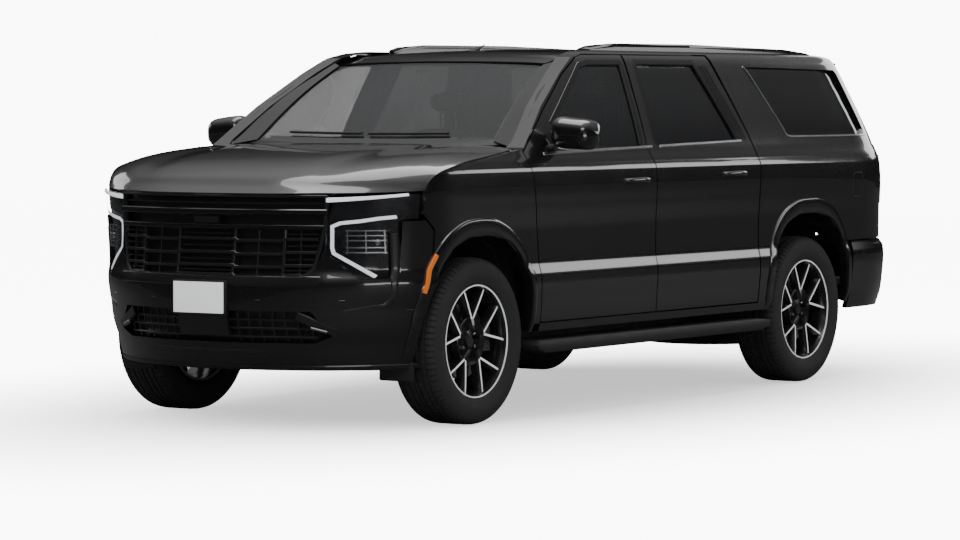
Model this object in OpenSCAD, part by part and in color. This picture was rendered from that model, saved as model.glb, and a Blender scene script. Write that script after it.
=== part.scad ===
/* [Overall] */
// Distance from front to rear wheel centres
wheelbase = 3406; // [3200:1:3600]
// Bumper nose ahead of the front wheel centre
front_overhang = 982; // [940:1:1040]
// Rear bumper behind the rear wheel centre
rear_overhang = 1342; // [1280:1:1420]
// Greatest width of the body without mirrors
body_w = 2060; // [1960:1:2160]
// Height of the roof at its highest point
roof_h = 1893; // [1840:1:1950]
// Wheel centre distance across the car
track = 1716; // [1690:1:1740]

/* [Wheels] */
// Outside diameter of a tyre
tyre_d = 834; // [800:1:850]
// Width of a tyre
tyre_w = 270; // [245:1:285]
// Diameter of the rim seat
rim_d = 560; // [500:1:600]
// Diameter of the hub spindle
spindle_d = 60; // [40:1:80]
// Radial running clearance of the spindle
spindle_fit = 0.05; // [0.02:0.01:0.1]
// Distance of the steering axis inboard of the tyre centre
kingpin_in = 55; // [40:1:80]

/* [Body shell] */
// Gap between neighbouring outer panels
panel_gap = 8; // [6:0.5:12]
// Thickness of the lower doors
door_t = 95; // [70:1:110]
// Thickness of a door's window frame
frame_t = 42; // [30:1:50]
// Depth of the body side wall behind the doors
wall_t = 150; // [130:1:180]
// Thickness of hood, roof and fender panels
panel_t = 22; // [12:1:30]
// Thickness of the tailgate
gate_t = 85; // [60:1:110]
// Thickness of the glass
glass_t = 6; // [4:0.5:10]
// Depth of the side glass under the door skin
glass_in = 12; // [6:1:20]

/* [Chassis] */
// Half distance between the frame rails
rail_y = 400; // [360:1:430]
// Width of a frame rail
rail_w = 80; // [60:1:100]
// Height of a frame rail
rail_h = 150; // [110:1:180]
// Height of the top of the cabin floor
floor_z = 560; // [520:1:600]

/* [Inside] */
// Outside diameter of the steering wheel
steer_d = 375; // [350:1:400]
// Width of a front seat
seat_w = 540; // [480:1:580]

/* [Mounts] */
// Distance between the plate screws across the bumper
plate_pitch = 178; // [170:1:190]
// Bore of the plate screw holes
plate_bore = 7; // [5:0.5:9]
// Inside width of the square hitch socket
hitch_w = 50.8; // [31.8:0.1:63.5]
// Bore of the hitch pin
hitch_pin = 16; // [12:0.5:20]

/* [Hidden] */

r = tyre_d / 2;
wheel_y = track / 2;
// Wheel centres, with the origin midway between the bumpers
nose_x = (wheelbase + front_overhang + rear_overhang) / 2;
tail_x = -nose_x;
fw_x = nose_x - front_overhang;
rw_x = tail_x + rear_overhang;
w2 = body_w / 2;
// Station that the outlines along the car are measured from
base_x = fw_x - 1866;

// ---- Body surfaces -------------------------------------------------------
// Half width of the body at each height, as an inset from the widest point
side_inset = [[280, 75], [420, 48], [500, 26], [600, 14], [700, 6], [720, 6], [800, 20], [950, 17],
    [1080, 8], [1180, 2], [1250, 3], [1290, 14], [1345, 38], [1400, 58], [1500, 96], [1600, 137],
    [1700, 180], [1780, 215], [1830, 240], [1850, 256], [1862, 272], [1872, 296], [1882, 335]];
side_zs = [for (p = side_inset) p[0]];
belt_z = 1360;
// Where the plan outline starts to curve in towards the nose and the tail
nose_x0 = fw_x + 130;
tail_x0 = rw_x - 480;
// How far the nose and the tail stand back from the bumpers at each height
nose_back = [[280, 110], [340, 65], [430, 38], [520, 8], [600, 0], [700, 4], [800, 24], [950, 44], [1150, 62],
    [1300, 110]];
tail_back = [[400, 30], [480, 6], [600, 0], [760, 8], [790, 60], [900, 66], [1200, 88], [1350, 110],
    [1600, 200], [1790, 280], [1860, 330]];
function nose_m(z) = lookup(z, [[600, 2.2], [1150, 3]]);
function nose_n(z) = lookup(z, [[600, 1.9], [1150, 1.8]]);
tail_p = 3.3;
// The roof and glass narrow a little towards the tail
function rear_taper(x, z) = lookup(z, [[1100, 0], [1345, 16], [1800, 40]])
    * lookup(x, [[tail_x, 1], [rw_x + 300, 0]]);
function full_y(x, z) = w2 - lookup(z, side_inset) - rear_taper(x, z);
function nose_c(z) = nose_x - lookup(z, nose_back);
function tail_c(z) = tail_x + lookup(z, tail_back);
// Half width of the body at a length and a height
function side_y(x, z) =
    x > nose_x0 ? full_y(x, z) * pow(max(0, 1 - pow((x - nose_x0) / (nose_c(z) - nose_x0), nose_m(z))),
        1 / nose_n(z)) :
    x < tail_x0 ? full_y(x, z)
        * pow(max(0, 1 - pow((x - tail_x0) / (tail_c(z) - tail_x0), tail_p)), 1 / tail_p) :
    full_y(x, z);

// A closed shell between two grids of points, outer[i][j] and inner[i][j]
module shell(outer, inner) {
    n = len(outer);
    m = len(outer[0]);
    function id(s, i, j) = (s * n + i) * m + j;
    function quad(a, b, c, d) = [[c, b, a], [d, c, a]];
    polyhedron(points = concat([for (a = outer) each a], [for (a = inner) each a]),
        faces = concat(
            [for (i = [0:n - 2]) for (j = [0:m - 2]) each concat(
                quad(id(0, i, j), id(0, i, j + 1), id(0, i + 1, j + 1), id(0, i + 1, j)),
                quad(id(1, i, j), id(1, i + 1, j), id(1, i + 1, j + 1), id(1, i, j + 1)))],
            [for (i = [0:n - 2]) each concat(
                quad(id(0, i, 0), id(0, i + 1, 0), id(1, i + 1, 0), id(1, i, 0)),
                quad(id(0, i, m - 1), id(1, i, m - 1), id(1, i + 1, m - 1), id(0, i + 1, m - 1)))],
            [for (j = [0:m - 2]) each concat(
                quad(id(0, 0, j), id(1, 0, j), id(1, 0, j + 1), id(0, 0, j + 1)),
                quad(id(0, n - 1, j), id(0, n - 1, j + 1), id(1, n - 1, j + 1), id(1, n - 1, j)))]),
        convexity = 12);
}

// An outline drawn in length and height, made a solid across one side of the body
module side_cut(outline) translate([base_x, 0, 0]) rotate([90, 0, 0]) translate([0, 0, -1400])
    linear_extrude(1390) polygon(outline);
// An outline drawn in width and height, made a solid ahead of or behind the middle
module end_cut(outline, x0) rotate([90, 0, 90]) translate([0, 0, x0]) linear_extrude(2000) polygon(outline);
module both_sides() { children(); mirror([0, 1, 0]) children(); }

function unit(v) = v / norm(v);
function turn_of(p) = sign(([for (q = p) 1]) * [for (i = [0:len(p) - 1]) cross(p[i], p[(i + 1) % len(p)])]);
// An outline moved outwards all round
function grown(p, d) = let (n = len(p), s = turn_of(p)) [for (i = [0:n - 1])
    let (a = unit(p[i] - p[(i + n - 1) % n]), b = unit(p[(i + 1) % n] - p[i]),
        na = s * [a[1], -a[0]], nb = s * [b[1], -b[0]])
    p[i] + d * (na + nb) / (1 + na * nb)];
function mirrored(pts) = concat(pts, [for (p = turned(pts)) if (p[0] > 0) [-p[0], p[1]]]);
function between(zs, lo, hi) = concat([lo], [for (z = zs) if (z > lo + 4 && z < hi - 4) z], [hi]);

// The inner grid of a wall stands off by a hair, so that no cut meets both faces in one line
stagger_x = 1.3;
stagger_z = 2.1;
// The left side wall: from depth d0(z) under the skin to depth d1(z)
module side_layer(xs, zs, d0, d1) shell(
    [for (x = xs) [for (z = zs) [x, side_y(x, z) - lookup(z, d0), z]]],
    [for (x = xs) [for (z = zs) [x + stagger_x, side_y(x + stagger_x, z + stagger_z) - lookup(z, d1),
        z + stagger_z]]]);

// ---- Outlines, in length and height --------------------------------------
a_gap = [[1464, 1349], [1423, 1220], [1391, 1078], [1360, 900],
    [1340, 700], [1321, 488]];
b_gap = [[176, 488], [189, 614], [197, 954], [205, 1128], [214, 1264], [243, 1352], [158, 1850]];
c_gap = [[-752, 1852], [-901, 1369], [-923, 1247], [-920, 1140], [-925, 800], [-935, 488]];
a_frame = [[560, 1848], [660, 1828], [850, 1742], [1150, 1562]];
// A door's top rear corner stands further from its neighbour, because it swings back as it opens
b_lead = 12;
c_lead = 17;
function moved(pts, dx) = [for (p = pts) [p[0] + dx, p[1]]];
function turned(pts) = [for (i = [len(pts) - 1:-1:0]) pts[i]];
g = panel_gap / 2;
function led(pts, lead) = [for (p = pts) [p[0] + (p[1] > 1840 ? lead : 0), p[1]]];
front_door = concat(moved(led(b_gap, b_lead), g), a_frame, a_gap);
rear_door = concat(moved(turned(led(c_gap, c_lead)), g), moved(turned(b_gap), -g));
// The box of a door behind its skin keeps back from the skin's edges
front_box = [[215, 505], [228, 1128], [265, 1352], [195, 1838], [560, 1836], [650, 1815], [840, 1730],
    [1140, 1548], [1435, 1347], [1365, 1078], [1332, 900], [1292, 505]];
rear_box = [[-905, 505], [-890, 1140], [-865, 1369], [-715, 1838], [140, 1836], [208, 1352], [183, 1128],
    [160, 505]];
all_doors = concat(turned(c_gap), a_frame, a_gap);
front_window = [[300, 1368], [225, 1806], [560, 1802], [640, 1785], [1115, 1482], [1290, 1372]];
rear_window = [[128, 1371], [58, 1808], [-545, 1808], [-745, 1383]];
quarter_window = [[-1330, 1419], [-1085, 1782], [-1130, 1797], [-2230, 1785], [-2258, 1765], [-2330, 1440],
    [-2310, 1412]];
front_arch = [for (p = [[-455, 200], [-452, 560], [-425, 700], [-340, 830], [-200, 917], [-50, 942],
    [120, 936], [250, 893], [350, 790], [415, 650], [445, 500], [450, 200]]) [1866 + p[0], p[1]]];
rear_arch = [for (p = [[-455, 200], [-448, 520], [-425, 700], [-350, 845], [-220, 940], [-50, 970],
    [120, 967], [260, 930], [370, 840], [430, 700], [455, 520], [460, 200]]) [1866 - wheelbase + p[0], p[1]]];

// ---- Hood ----------------------------------------------------------------
// Rows from the cowl to the nose: middle x, edge x, middle z, edge z
cowl_x = 1472;
hood_rows = [[cowl_x, 1600, 1390, 1364], [1620, 1680, 1393, 1352], [1850, 1850, 1387, 1332],
    [2100, 2040, 1370, 1310], [2330, 2160, 1343, 1288], [2520, 2250, 1306, 1266], [2630, 2300, 1272, 1240],
    [2700, 2330, 1238, 1212], [2745, 2345, 1195, 1186], [nose_x - 68, 2350, 1160, 1174]];
hood_cols = [0, 0.2, 0.38, 0.46, 0.54, 0.68, 0.8, 0.88, 0.94, 0.98, 1];
hood_fall = [[0, 1], [0.38, 0.94], [0.46, 0.86], [0.54, 0.7], [0.68, 0.72], [0.8, 0.62], [0.88, 0.45],
    [0.94, 0.25], [0.98, 0.1], [1, 0]];
hood_us = concat([for (i = [len(hood_cols) - 1:-1:1]) -hood_cols[i]], hood_cols);
// The wall runs down under the top, inwards at the sides and backwards at the nose
function hood_point(row, u, down) =
    let (a = abs(u),
        side = lookup(a, [[0.8, 0], [0.94, 0.6], [1, 1]]),
        nose = lookup(row[2], [[1150, 1], [1250, 0.6], [1330, 0]]),
        w = side_y(row[1], row[3]) - down * side,
        x = row[0] - (row[0] - row[1]) * pow(a, lookup(row[0], [[cowl_x, 8], [1850, 3], [2100, 2.6]])))
    [x - down * nose * (1 - side), w * (u < 0 ? -1 : 1) * a,
        row[3] + (row[2] - row[3]) * lookup(a, hood_fall) - down * (1 - side) * (1 - nose)];

module hood() color([0.03, 0.03, 0.035]) shell(
    [for (u = hood_us) [for (row = hood_rows) hood_point(row, u, 0)]],
    [for (u = hood_us) [for (row = hood_rows) hood_point(row, u, panel_t)]]);

// ---- Front fenders -------------------------------------------------------
function hood_edge_z(x) = lookup(x, [for (row = hood_rows) [row[1], row[3]]]);
fender_outline = concat(moved(turned(a_gap), panel_gap), [[1476, 1364]],
    [for (x = [1600, 1700, 1850, 2040, 2160, 2233, 2283, 2313, 2322])
        [x, hood_edge_z(x + base_x) - panel_gap - 2]],
    [[2330, 1162], [2334, 1062], [2258, 985], [2258, 300], [1330, 300]]);
module front_fenders() color([0.03, 0.03, 0.035]) both_sides() difference() {
    intersection() {
        side_layer([for (i = [0:10]) 1300 + i * 105], between(side_zs, 480, 1372),
            [[0, 0], [1, 0]], [[0, panel_t], [1, panel_t]]);
        side_cut(fender_outline);
    }
    side_cut(front_arch);
}

// ---- Body sides ----------------------------------------------------------
wall = [[1290, wall_t], [1400, 88], [1850, 88], [1882, 40]];
skin_t = 22;
door_depth = [[1290, door_t], [1385, frame_t], [1872, frame_t]];
door_skin = [[0, skin_t], [1, skin_t]];
// Room behind a closed door, for its seals
door_room = [for (p = door_depth) [p[0], p[1] + 14]];
skin = [[0, 0], [1, 0]];
side_outline = concat([[-2612, 800], [-2612, 1350], [-2560, 1600], [-2490, 1800], [-2468, 1860], [-2400, 1876],
    [430, 1876], [560, 1866], [690, 1838], [860, 1756], [1165, 1580], [1400, 1410], [1455, 1372]], moved(a_gap, 1),
    [[1322, 440], [-1700, 440], [-1940, 800]]);
gate_room = mirrored([[0, 700], [805, 700], [825, 1000], [825, 1300], [780, 1425], [711, 1900], [0, 1900]]);
lamp_side = [[-2478, 995], [-2478, 1352], [-2800, 1352], [-2800, 995]];
front_aperture = [[250, 560], [262, 1352], [190, 1800], [560, 1795], [700, 1755], [1120, 1490], [1330, 1340],
    [1260, 560]];
rear_aperture = [[120, 560], [130, 1352], [50, 1800], [-600, 1800], [-860, 1352], [-870, 900], [-800, 620],
    [-740, 560]];
module body_sides() color([0.03, 0.03, 0.035]) both_sides() difference() {
    intersection() {
        side_layer([-2640, -2590, -2530, -2450, -2300, -2100, -1800, -1200, -700, 0, 700, 1600],
            between(side_zs, 430, 1881), skin, wall);
        side_cut(side_outline);
    }
    side_cut(grown(all_doors, panel_gap));
    side_cut(quarter_window);
    side_cut(rear_arch);
    side_cut(lamp_side);
    end_cut(gate_room, -4000);
}
module door_frames() color([0.03, 0.03, 0.035]) both_sides() difference() {
    intersection() {
        side_layer([-1300, -700, 0, 700, 1600], [470, 600, 950, 1180, 1290, 1400, 1600, 1780, 1880], door_room,
            wall);
        side_cut(grown(all_doors, panel_gap - 1));
    }
    side_cut(front_aperture);
    side_cut(rear_aperture);
}

// ---- Doors ---------------------------------------------------------------
module door(outline, box, window, xs) color([0.03, 0.03, 0.035]) difference() {
    union() {
        intersection() {
            side_layer(xs, between(side_zs, 484, 1868), skin, door_skin);
            side_cut(outline);
        }
        intersection() {
            side_layer(xs, [490, 700, 950, 1180, 1290, 1385, 1500, 1700, 1850],
                [[0, skin_t - 4], [1, skin_t - 4]],
                door_depth);
            side_cut(box);
        }
    }
    side_cut(window);
}
module front_left_door() door(front_door, front_box, front_window, [60, 700, 1520]);
module front_right_door() mirror([0, 1, 0]) front_left_door();
module rear_left_door() door(rear_door, rear_box, rear_window, [-980, -400, 290]);
module rear_right_door() mirror([0, 1, 0]) rear_left_door();

// ---- Side glass ----------------------------------------------------------
module side_glass(window, xs, zs) color([0.05, 0.05, 0.06, 0.6]) intersection() {
    side_layer(xs, zs, [[0, glass_in], [1, glass_in]], [[0, glass_in + glass_t], [1, glass_in + glass_t]]);
    side_cut(window);
}
glass_zs = [1360, 1400, 1500, 1600, 1700, 1780, 1830];
module front_left_glass() side_glass(front_window, [190, 700, 1370], glass_zs);
module front_right_glass() mirror([0, 1, 0]) front_left_glass();
module rear_left_glass() side_glass(rear_window, [-790, -300, 190], glass_zs);
module rear_right_glass() mirror([0, 1, 0]) rear_left_glass();
module quarter_glass() both_sides() side_glass(quarter_window, [-2360, -2000, -1600, -1030], glass_zs);

// ---- Mirrors -------------------------------------------------------------
module left_mirror() color([0.04, 0.04, 0.045]) union() {
    hull() for (p = [[1150, 1020, 1400], [1150, 1185, 1405], [1140, 1040, 1500], [1130, 1165, 1500]])
        translate(p) scale([2.2, 1, 1]) sphere(d = 60, $fn = 12);
    hull() {
        translate([1150, 1050, 1385]) cube([90, 60, 20], center = true);
        translate([1200, side_y(1200, 1352) + 12, 1352]) cube([120, 14, 16], center = true);
    }
}
module right_mirror() mirror([0, 1, 0]) left_mirror();

// ---- Roof ----------------------------------------------------------------
roof_ys = [-1, -0.9, -0.7, -0.4, 0, 0.4, 0.7, 0.9, 1];
// Length and middle height of the roof, in rows from the windscreen to the tail
roof_rows = [[790, 1818], [640, 1848], [400, 1876], [0, 1889], [-500, 1893], [-1200, 1888], [-1800, 1874],
    [-2200, 1857], [-2462, 1842]];
function roof_half(x) = side_y(min(x, 700), 1881) - 43;
function roof_z(x, u) = lookup(-x, [for (p = roof_rows) [-p[0], p[1] - 1893 + roof_h]])
    - lookup(abs(u), [[0, 0], [0.4, 3], [0.7, 8], [0.9, 14], [1, 20]])
        * lookup(x, [[-2480, 0.5], [350, 1], [790, 0.7]]);
roof_xs = [for (i = [len(roof_rows) - 1:-1:0]) roof_rows[i][0]];
function roof_point(x, u, down) = [x - (x > 600 ? 34 * u * u : 0), u * roof_half(x), roof_z(x, u) - down];
module roof() color([0.03, 0.03, 0.035]) shell(
    [for (u = roof_ys) [for (x = roof_xs) roof_point(x, u, 0)]],
    [for (u = roof_ys) [for (x = roof_xs) roof_point(x, u, panel_t)]]);

// ---- Windscreen ----------------------------------------------------------
// s runs from the base to the top edge, u across from side to side
function ws_point(s, u, down) = [1452 - 650 * s - (70 - 34 * s) * u * u - down * 0.55,
    u * (762 - 96 * s), 1384 + 424 * s + 26 * sin(180 * s) + (14 - 32 * s) * u * u - down * 0.83];
ws_ss = [0, 0.25, 0.5, 0.75, 1];
ws_us = [-1, -0.85, -0.6, -0.3, 0, 0.3, 0.6, 0.85, 1];
module windshield() color([0.05, 0.05, 0.06, 0.5]) shell(
    [for (s = ws_ss) [for (u = ws_us) ws_point(s, u, 0)]],
    [for (s = ws_ss) [for (u = ws_us) ws_point(s, u, glass_t)]]);

// ---- Nose ----------------------------------------------------------------
function nose_point(phi, z, d) =
    let (w = full_y(nose_x0, z) - d)
    [nose_x0 + (nose_c(z) - d - nose_x0) * pow(cos(phi), 2 / nose_m(z)),
        (phi < 0 ? -1 : 1) * w * pow(abs(sin(phi)), 2 / nose_n(z)), z];
nose_phis = [-89.9, -80, -68, -56, -44, -30, -14, 0, 14, 30, 44, 56, 68, 80, 89.9];
module nose_layer(zs, d0, d1) shell(
    [for (z = zs) [for (a = nose_phis) nose_point(a, z, d0)]],
    [for (z = zs) [for (a = nose_phis) nose_point(a, z + stagger_z, d1)]]);
// Openings, in width and height
grille_outline = mirrored([[0, 742], [470, 742], [575, 800], [610, 900], [610, 1010], [640, 1148], [0, 1148]]);
lamp_outline = [[655, 1150], [1200, 1164], [1200, 1060], [905, 1030], [880, 760], [760, 750], [628, 880],
    [624, 1010]];
intake_outline = mirrored([[0, 435], [560, 435], [640, 470], [560, 590], [0, 590]]);
module front_bumper() color([0.03, 0.03, 0.035]) difference() {
    nose_layer([300, 340, 430, 520, 600, 700, 800, 950, 1000, 1060], 0, 30);
    end_cut(grown(grille_outline, 6), 1000);
    both_sides() end_cut(grown(lamp_outline, 6), 1000);
    end_cut(intake_outline, 1000);
    both_sides() side_cut(front_arch);
    both_sides() side_cut([[1900, 1100], [2344, 1100], [2342, 1056], [2266, 978], [2266, 200], [1900, 200]]);
    for (y = [-1, 1]) translate([nose_x - 200, y * plate_pitch / 2, 700])
        rotate([0, 90, 0]) cylinder(d = plate_bore, h = 400, $fn = 24);
}
module grille() color([0.02, 0.02, 0.02]) union() {
    intersection() {
        nose_layer([440, 520, 586], 40, 60);
        end_cut(intake_outline, 1000);
    }
    intersection() {
        nose_layer([742, 800, 950, 1146], 16, 50);
        end_cut(grille_outline, 1000);
    }
}
module headlights() color([0.75, 0.78, 0.8, 0.8]) both_sides() intersection() {
    nose_layer([720, 800, 950, 1060, 1120, 1190], 2, 110);
    end_cut(lamp_outline, base_x + 2342);
}

// ---- Tail ----------------------------------------------------------------
function tail_point(phi, z, d) =
    let (w = full_y(tail_x0, z) - d)
    [tail_x0 + (tail_c(z) + d - tail_x0) * pow(cos(phi), 2 / tail_p),
        (phi < 0 ? -1 : 1) * w * pow(abs(sin(phi)), 2 / tail_p), z];
tail_phis = [-89.9, -70, -50, -36, -20, -6, 0, 6, 20, 36, 50, 70, 89.9];
module tail_layer(zs, d0, d1) shell(
    [for (a = tail_phis) [for (z = zs) tail_point(a, z, d0)]],
    [for (a = tail_phis) [for (z = zs) tail_point(a, z + stagger_z, d1)]]);
gate_outline = mirrored([[0, 806], [795, 806], [815, 1000], [815, 1300], [770, 1420], [700, 1804], [0, 1804]]);
gate_window = mirrored([[0, 1370], [690, 1370], [640, 1760], [0, 1760]]);
gate_zs = [798, 900, 1200, 1350, 1600, 1790, 1830];
module tailgate() color([0.03, 0.03, 0.035]) difference() {
    intersection() {
        tail_layer(gate_zs, 0, gate_t);
        end_cut(gate_outline, -4000);
    }
    end_cut(gate_window, -4000);
}
module tailgate_glass() color([0.05, 0.05, 0.06, 0.6]) intersection() {
    tail_layer([1370, 1500, 1600, 1760], 10, 10 + glass_t);
    end_cut(gate_window, -4000);
}
module tail_lights() color([0.35, 0.03, 0.03]) both_sides() intersection() {
    tail_layer([980, 1200, 1360], 0, 70);
    end_cut([[824, 1001], [1200, 1001], [1200, 1346], [824, 1346]], base_x - 4484);
}
module rear_bumper() color([0.03, 0.03, 0.035]) difference() {
    tail_layer([400, 480, 600, 760, 790], 0, 30);
    both_sides() side_cut(rear_arch);
    
}

// ---- Wheel arch liners ---------------------------------------------------
function scaled_arch(arch, cx, k) = [for (p = arch) [cx + (p[0] - cx) * k, r + (p[1] - r) * k]];
module liner(arch, cx, y0, y1) difference() {
    translate([base_x, y1, 0]) rotate([90, 0, 0]) linear_extrude(y1 - y0) difference() {
        polygon(scaled_arch(arch, cx, 1.065));
        polygon(concat(scaled_arch(arch, cx, 1.045), [[cx + 400, 0], [cx - 400, 0]]));
    }
    translate([-3500, 0, -10]) cube([7000, 1400, 410]);
}
module wheel_liners() color([0.02, 0.02, 0.02]) both_sides() {
    liner(front_arch, 1866, 600, 840);
    liner(rear_arch, 1866 - wheelbase, 640, 832);
}

// ---- Roof rails and running boards ---------------------------------------
module roof_rails() color([0.02, 0.02, 0.02]) both_sides() {
    rail = [[330, 21], [250, 36], [0, 42], [-800, 42], [-1900, 42], [-2160, 34], [-2240, 21]];
    for (i = [0:len(rail) - 2]) hull() for (p = [rail[i], rail[i + 1]])
        translate([p[0], 610, roof_z(p[0], 0.9) + p[1] - 10]) cube([10, 34, 20], center = true);
}
board_z = 350;
module running_boards() color([0.03, 0.03, 0.03]) both_sides() rotate([90, 0, 0]) translate([0, 0, -1035])
    linear_extrude(200) polygon([[1340, board_z - 20], [1400, board_z], [1410, board_z + 20], [1390, board_z + 45],
        [-900, board_z + 45], [-1010, board_z + 35], [-1010, board_z], [-900, board_z - 20]]);

// ---- Wheels --------------------------------------------------------------
// Brake disc, fixed to the rim's hub
disc_d = 380;
disc_t = 28;
tyre_profile = [[rim_d / 2 - 12, -100], [rim_d / 2 - 12, -118], [rim_d / 2 + 8, -tyre_w / 2 + 6],
    [rim_d / 2 + 60, -tyre_w / 2], [r - 40, -tyre_w / 2 + 6], [r - 10, -tyre_w / 2 + 24], [r, -tyre_w / 2 + 60],
    [r, tyre_w / 2 - 60], [r - 10, tyre_w / 2 - 24], [r - 40, tyre_w / 2 - 6], [rim_d / 2 + 60, tyre_w / 2],
    [rim_d / 2 + 8, tyre_w / 2 - 6], [rim_d / 2 - 12, 118], [rim_d / 2 - 12, 100], [rim_d / 2 + 4, 92],
    [rim_d / 2 + 4, -92]];
module tyre() color([0.05, 0.05, 0.05]) rotate([-90, 0, 0]) rotate_extrude($fn = 96) polygon(tyre_profile);
rim_profile = [[rim_d / 2 - 12.2, -118], [rim_d / 2 - 12.2, -100], [rim_d / 2 - 12.2, 118], [rim_d / 2 - 26, 118],
    [rim_d / 2 - 32, 60], [rim_d / 2 - 32, -118]];
module rim() color([0.1, 0.1, 0.1]) rotate([-90, 0, 0]) difference() {
    union() {
        rotate_extrude($fn = 96) polygon(rim_profile);
        translate([0, 0, 62]) cylinder(d = rim_d - 58, h = 38, $fn = 96);
        translate([0, 0, 10]) cylinder(d = 150, h = 60, $fn = 64);
        cylinder(d = disc_d, h = disc_t, $fn = 64);
    }
    for (i = [0:4]) rotate([0, 0, i * 72 + 90]) {
        translate([0, 0, 50]) linear_extrude(60) polygon([[96, -6], [96, 6], [238, 52], [238, -52]]);
        rotate([0, 0, 36]) translate([0, 0, 50]) linear_extrude(60)
            polygon([[110, -16], [110, 16], [238, 48], [238, -48]]);
    }
    translate([0, 0, -200]) cylinder(d = spindle_d + 2 * spindle_fit, h = 270, $fn = 64);
}
module at_wheel(front, side) translate([front ? fw_x : rw_x, side * wheel_y, r]) scale([1, side, 1]) children();
module front_left_tyre() at_wheel(true, 1) tyre();
module front_right_tyre() at_wheel(true, -1) tyre();
module rear_left_tyre() at_wheel(false, 1) tyre();
module rear_right_tyre() at_wheel(false, -1) tyre();
module front_left_rim() at_wheel(true, 1) rim();
module front_right_rim() at_wheel(true, -1) rim();
module rear_left_rim() at_wheel(false, 1) rim();
module rear_right_rim() at_wheel(false, -1) rim();
// Two plates and a bridge around the brake disc
module caliper() for (p = [[-32, 26], [disc_t + 6, 16]]) translate([-60, 120, p[0]]) cube([120, 90, p[1]]);
module caliper_bridge() translate([-60, 200, -32]) cube([120, 18, disc_t + 54]);
post_r = 34;
module knuckle() color([0.35, 0.35, 0.36]) union() {
    rotate([-90, 0, 0]) translate([0, 0, -60]) cylinder(d = spindle_d, h = 118, $fn = 64);
    translate([0, -kingpin_in, -150]) cylinder(r = post_r, h = 300, $fn = 48);
    translate([-45, -70, -60]) cube([90, 34, 120]);
    translate([-20, -95, -20]) cube([150, 50, 40]);
    rotate([-90, 0, 0]) rotate([0, 0, 90]) {
        caliper();
        caliper_bridge();
    }
    translate([-215, -62, -30]) cube([190, 34, 60]);
}
module left_knuckle() at_wheel(true, 1) knuckle();
module right_knuckle() at_wheel(true, -1) knuckle();
module spare_wheel() color([0.05, 0.05, 0.05]) translate([rw_x - 592, 0, 280]) rotate([90, 0, 0]) {
    rotate([-90, 0, 0]) rotate_extrude($fn = 96) polygon(concat([[0, 0], [0, -40], [rim_d / 2 - 12, -40]],
        [for (p = [[rim_d / 2 - 12, -90], [rim_d / 2 + 40, -110], [r - 50, -110], [r - 12, -90], [r - 12, 90],
        [r - 50, 110], [rim_d / 2 + 40, 110], [rim_d / 2 - 12, 90], [rim_d / 2 - 12, 0]]) p]));
}

// ---- Chassis -------------------------------------------------------------
rail_low = 300;
module chassis_frame() color([0.08, 0.08, 0.08]) union() {
    both_sides() rotate([90, 0, 0]) translate([0, 0, -rail_y - rail_w / 2]) linear_extrude(rail_w) polygon(
        [[2600, 400], [2600, 375 + rail_h], [1400, 375 + rail_h], [1200, rail_low + rail_h],
        [-900, rail_low + rail_h],
        [-1150, 375 + rail_h], [-2720, 375 + rail_h], [-2720, 400],
        [-2000, 400], [-1900, 460], [-1150, 460], [-900, rail_low], [1200, rail_low], [1400, 400]]);
    for (p = [[2540, 470], [1330, 400], [300, 340], [-700, 340], [-1930, 485], [-2690, 480]])
        translate([p[0], 0, p[1]]) cube([90, 2 * rail_y, 80], center = true);
    hitch();
}
// A square socket hung under the rear crossmember, with a cross bore for its pin
hitch_wall = 8;
hitch_len = 190;
hitch_x = -2740;
hitch_z = 350;
hitch_out = hitch_w + 2 * hitch_wall;
module hitch() translate([hitch_x, 0, hitch_z]) {
    difference() {
        translate([0, -hitch_out / 2, -hitch_out / 2]) cube([hitch_len, hitch_out, hitch_out]);
        translate([-1, -hitch_w / 2, -hitch_w / 2]) cube([hitch_len - 20, hitch_w, hitch_w]);
        translate([65, 100, 0]) rotate([90, 0, 0]) cylinder(d = hitch_pin, h = 200, $fn = 32);
    }
    translate([10, -30, hitch_w / 2 + hitch_wall / 2]) cube([80, 60, 75]);
}
module floor_pan() color([0.12, 0.12, 0.12]) difference() {
    union() {
        translate([-2480, -848, floor_z - 30]) cube([3760, 1696, 30]);
        translate([1250, -848, floor_z - 30]) cube([30, 1696, 680]);
    }
    both_sides() translate([rw_x - 510, 630, 300]) cube([1020, 400, 600]);
}
module engine() color([0.25, 0.25, 0.26]) translate([1500, -280, 560]) cube([820, 560, 560]);
module cowl() color([0.03, 0.03, 0.03]) translate([1300, -740, 1225]) cube([150, 1480, 120]);
module dashboard() color([0.06, 0.06, 0.06]) union() {
    rotate([90, 0, 0]) translate([0, 0, -770]) linear_extrude(1540) polygon([[860, 960], [800, 1120], [830, 1230],
        [930, 1290], [1245, 1330], [1245, 860], [1100, 820]]);
    translate([-200, -150, floor_z]) cube([1080, 300, 410]);
}
// An arm from a frame rail out to an eye on the steering axis
module arm(z) translate([fw_x, 0, z]) {
    translate([0, wheel_y - kingpin_in, 0]) cylinder(r = post_r, h = 24, $fn = 48);
    translate([-60, rail_y + rail_w / 2, 0]) cube([120, wheel_y - kingpin_in - rail_y - rail_w / 2, 24]);
}
module front_suspension() color([0.1, 0.1, 0.1]) both_sides() {
    arm(r - 150 - 25);
    arm(r + 151);
}
module rear_axle() color([0.12, 0.12, 0.12]) translate([rw_x, 0, r]) {
    rotate([-90, 0, 0]) translate([0, 0, -wheel_y - 58]) cylinder(d = spindle_d, h = 2 * wheel_y + 116, $fn = 64);
    translate([-150, -140, -110]) cube([300, 280, 150]);
    both_sides() translate([-50, wheel_y - 110, -90]) cube([100, 40, 150]);
}
module driveshaft() color([0.2, 0.2, 0.2]) translate([rw_x + 152, 0, r + 12]) rotate([0, 90, 0])
    cylinder(d = 80, h = 1650, $fn = 48);
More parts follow.
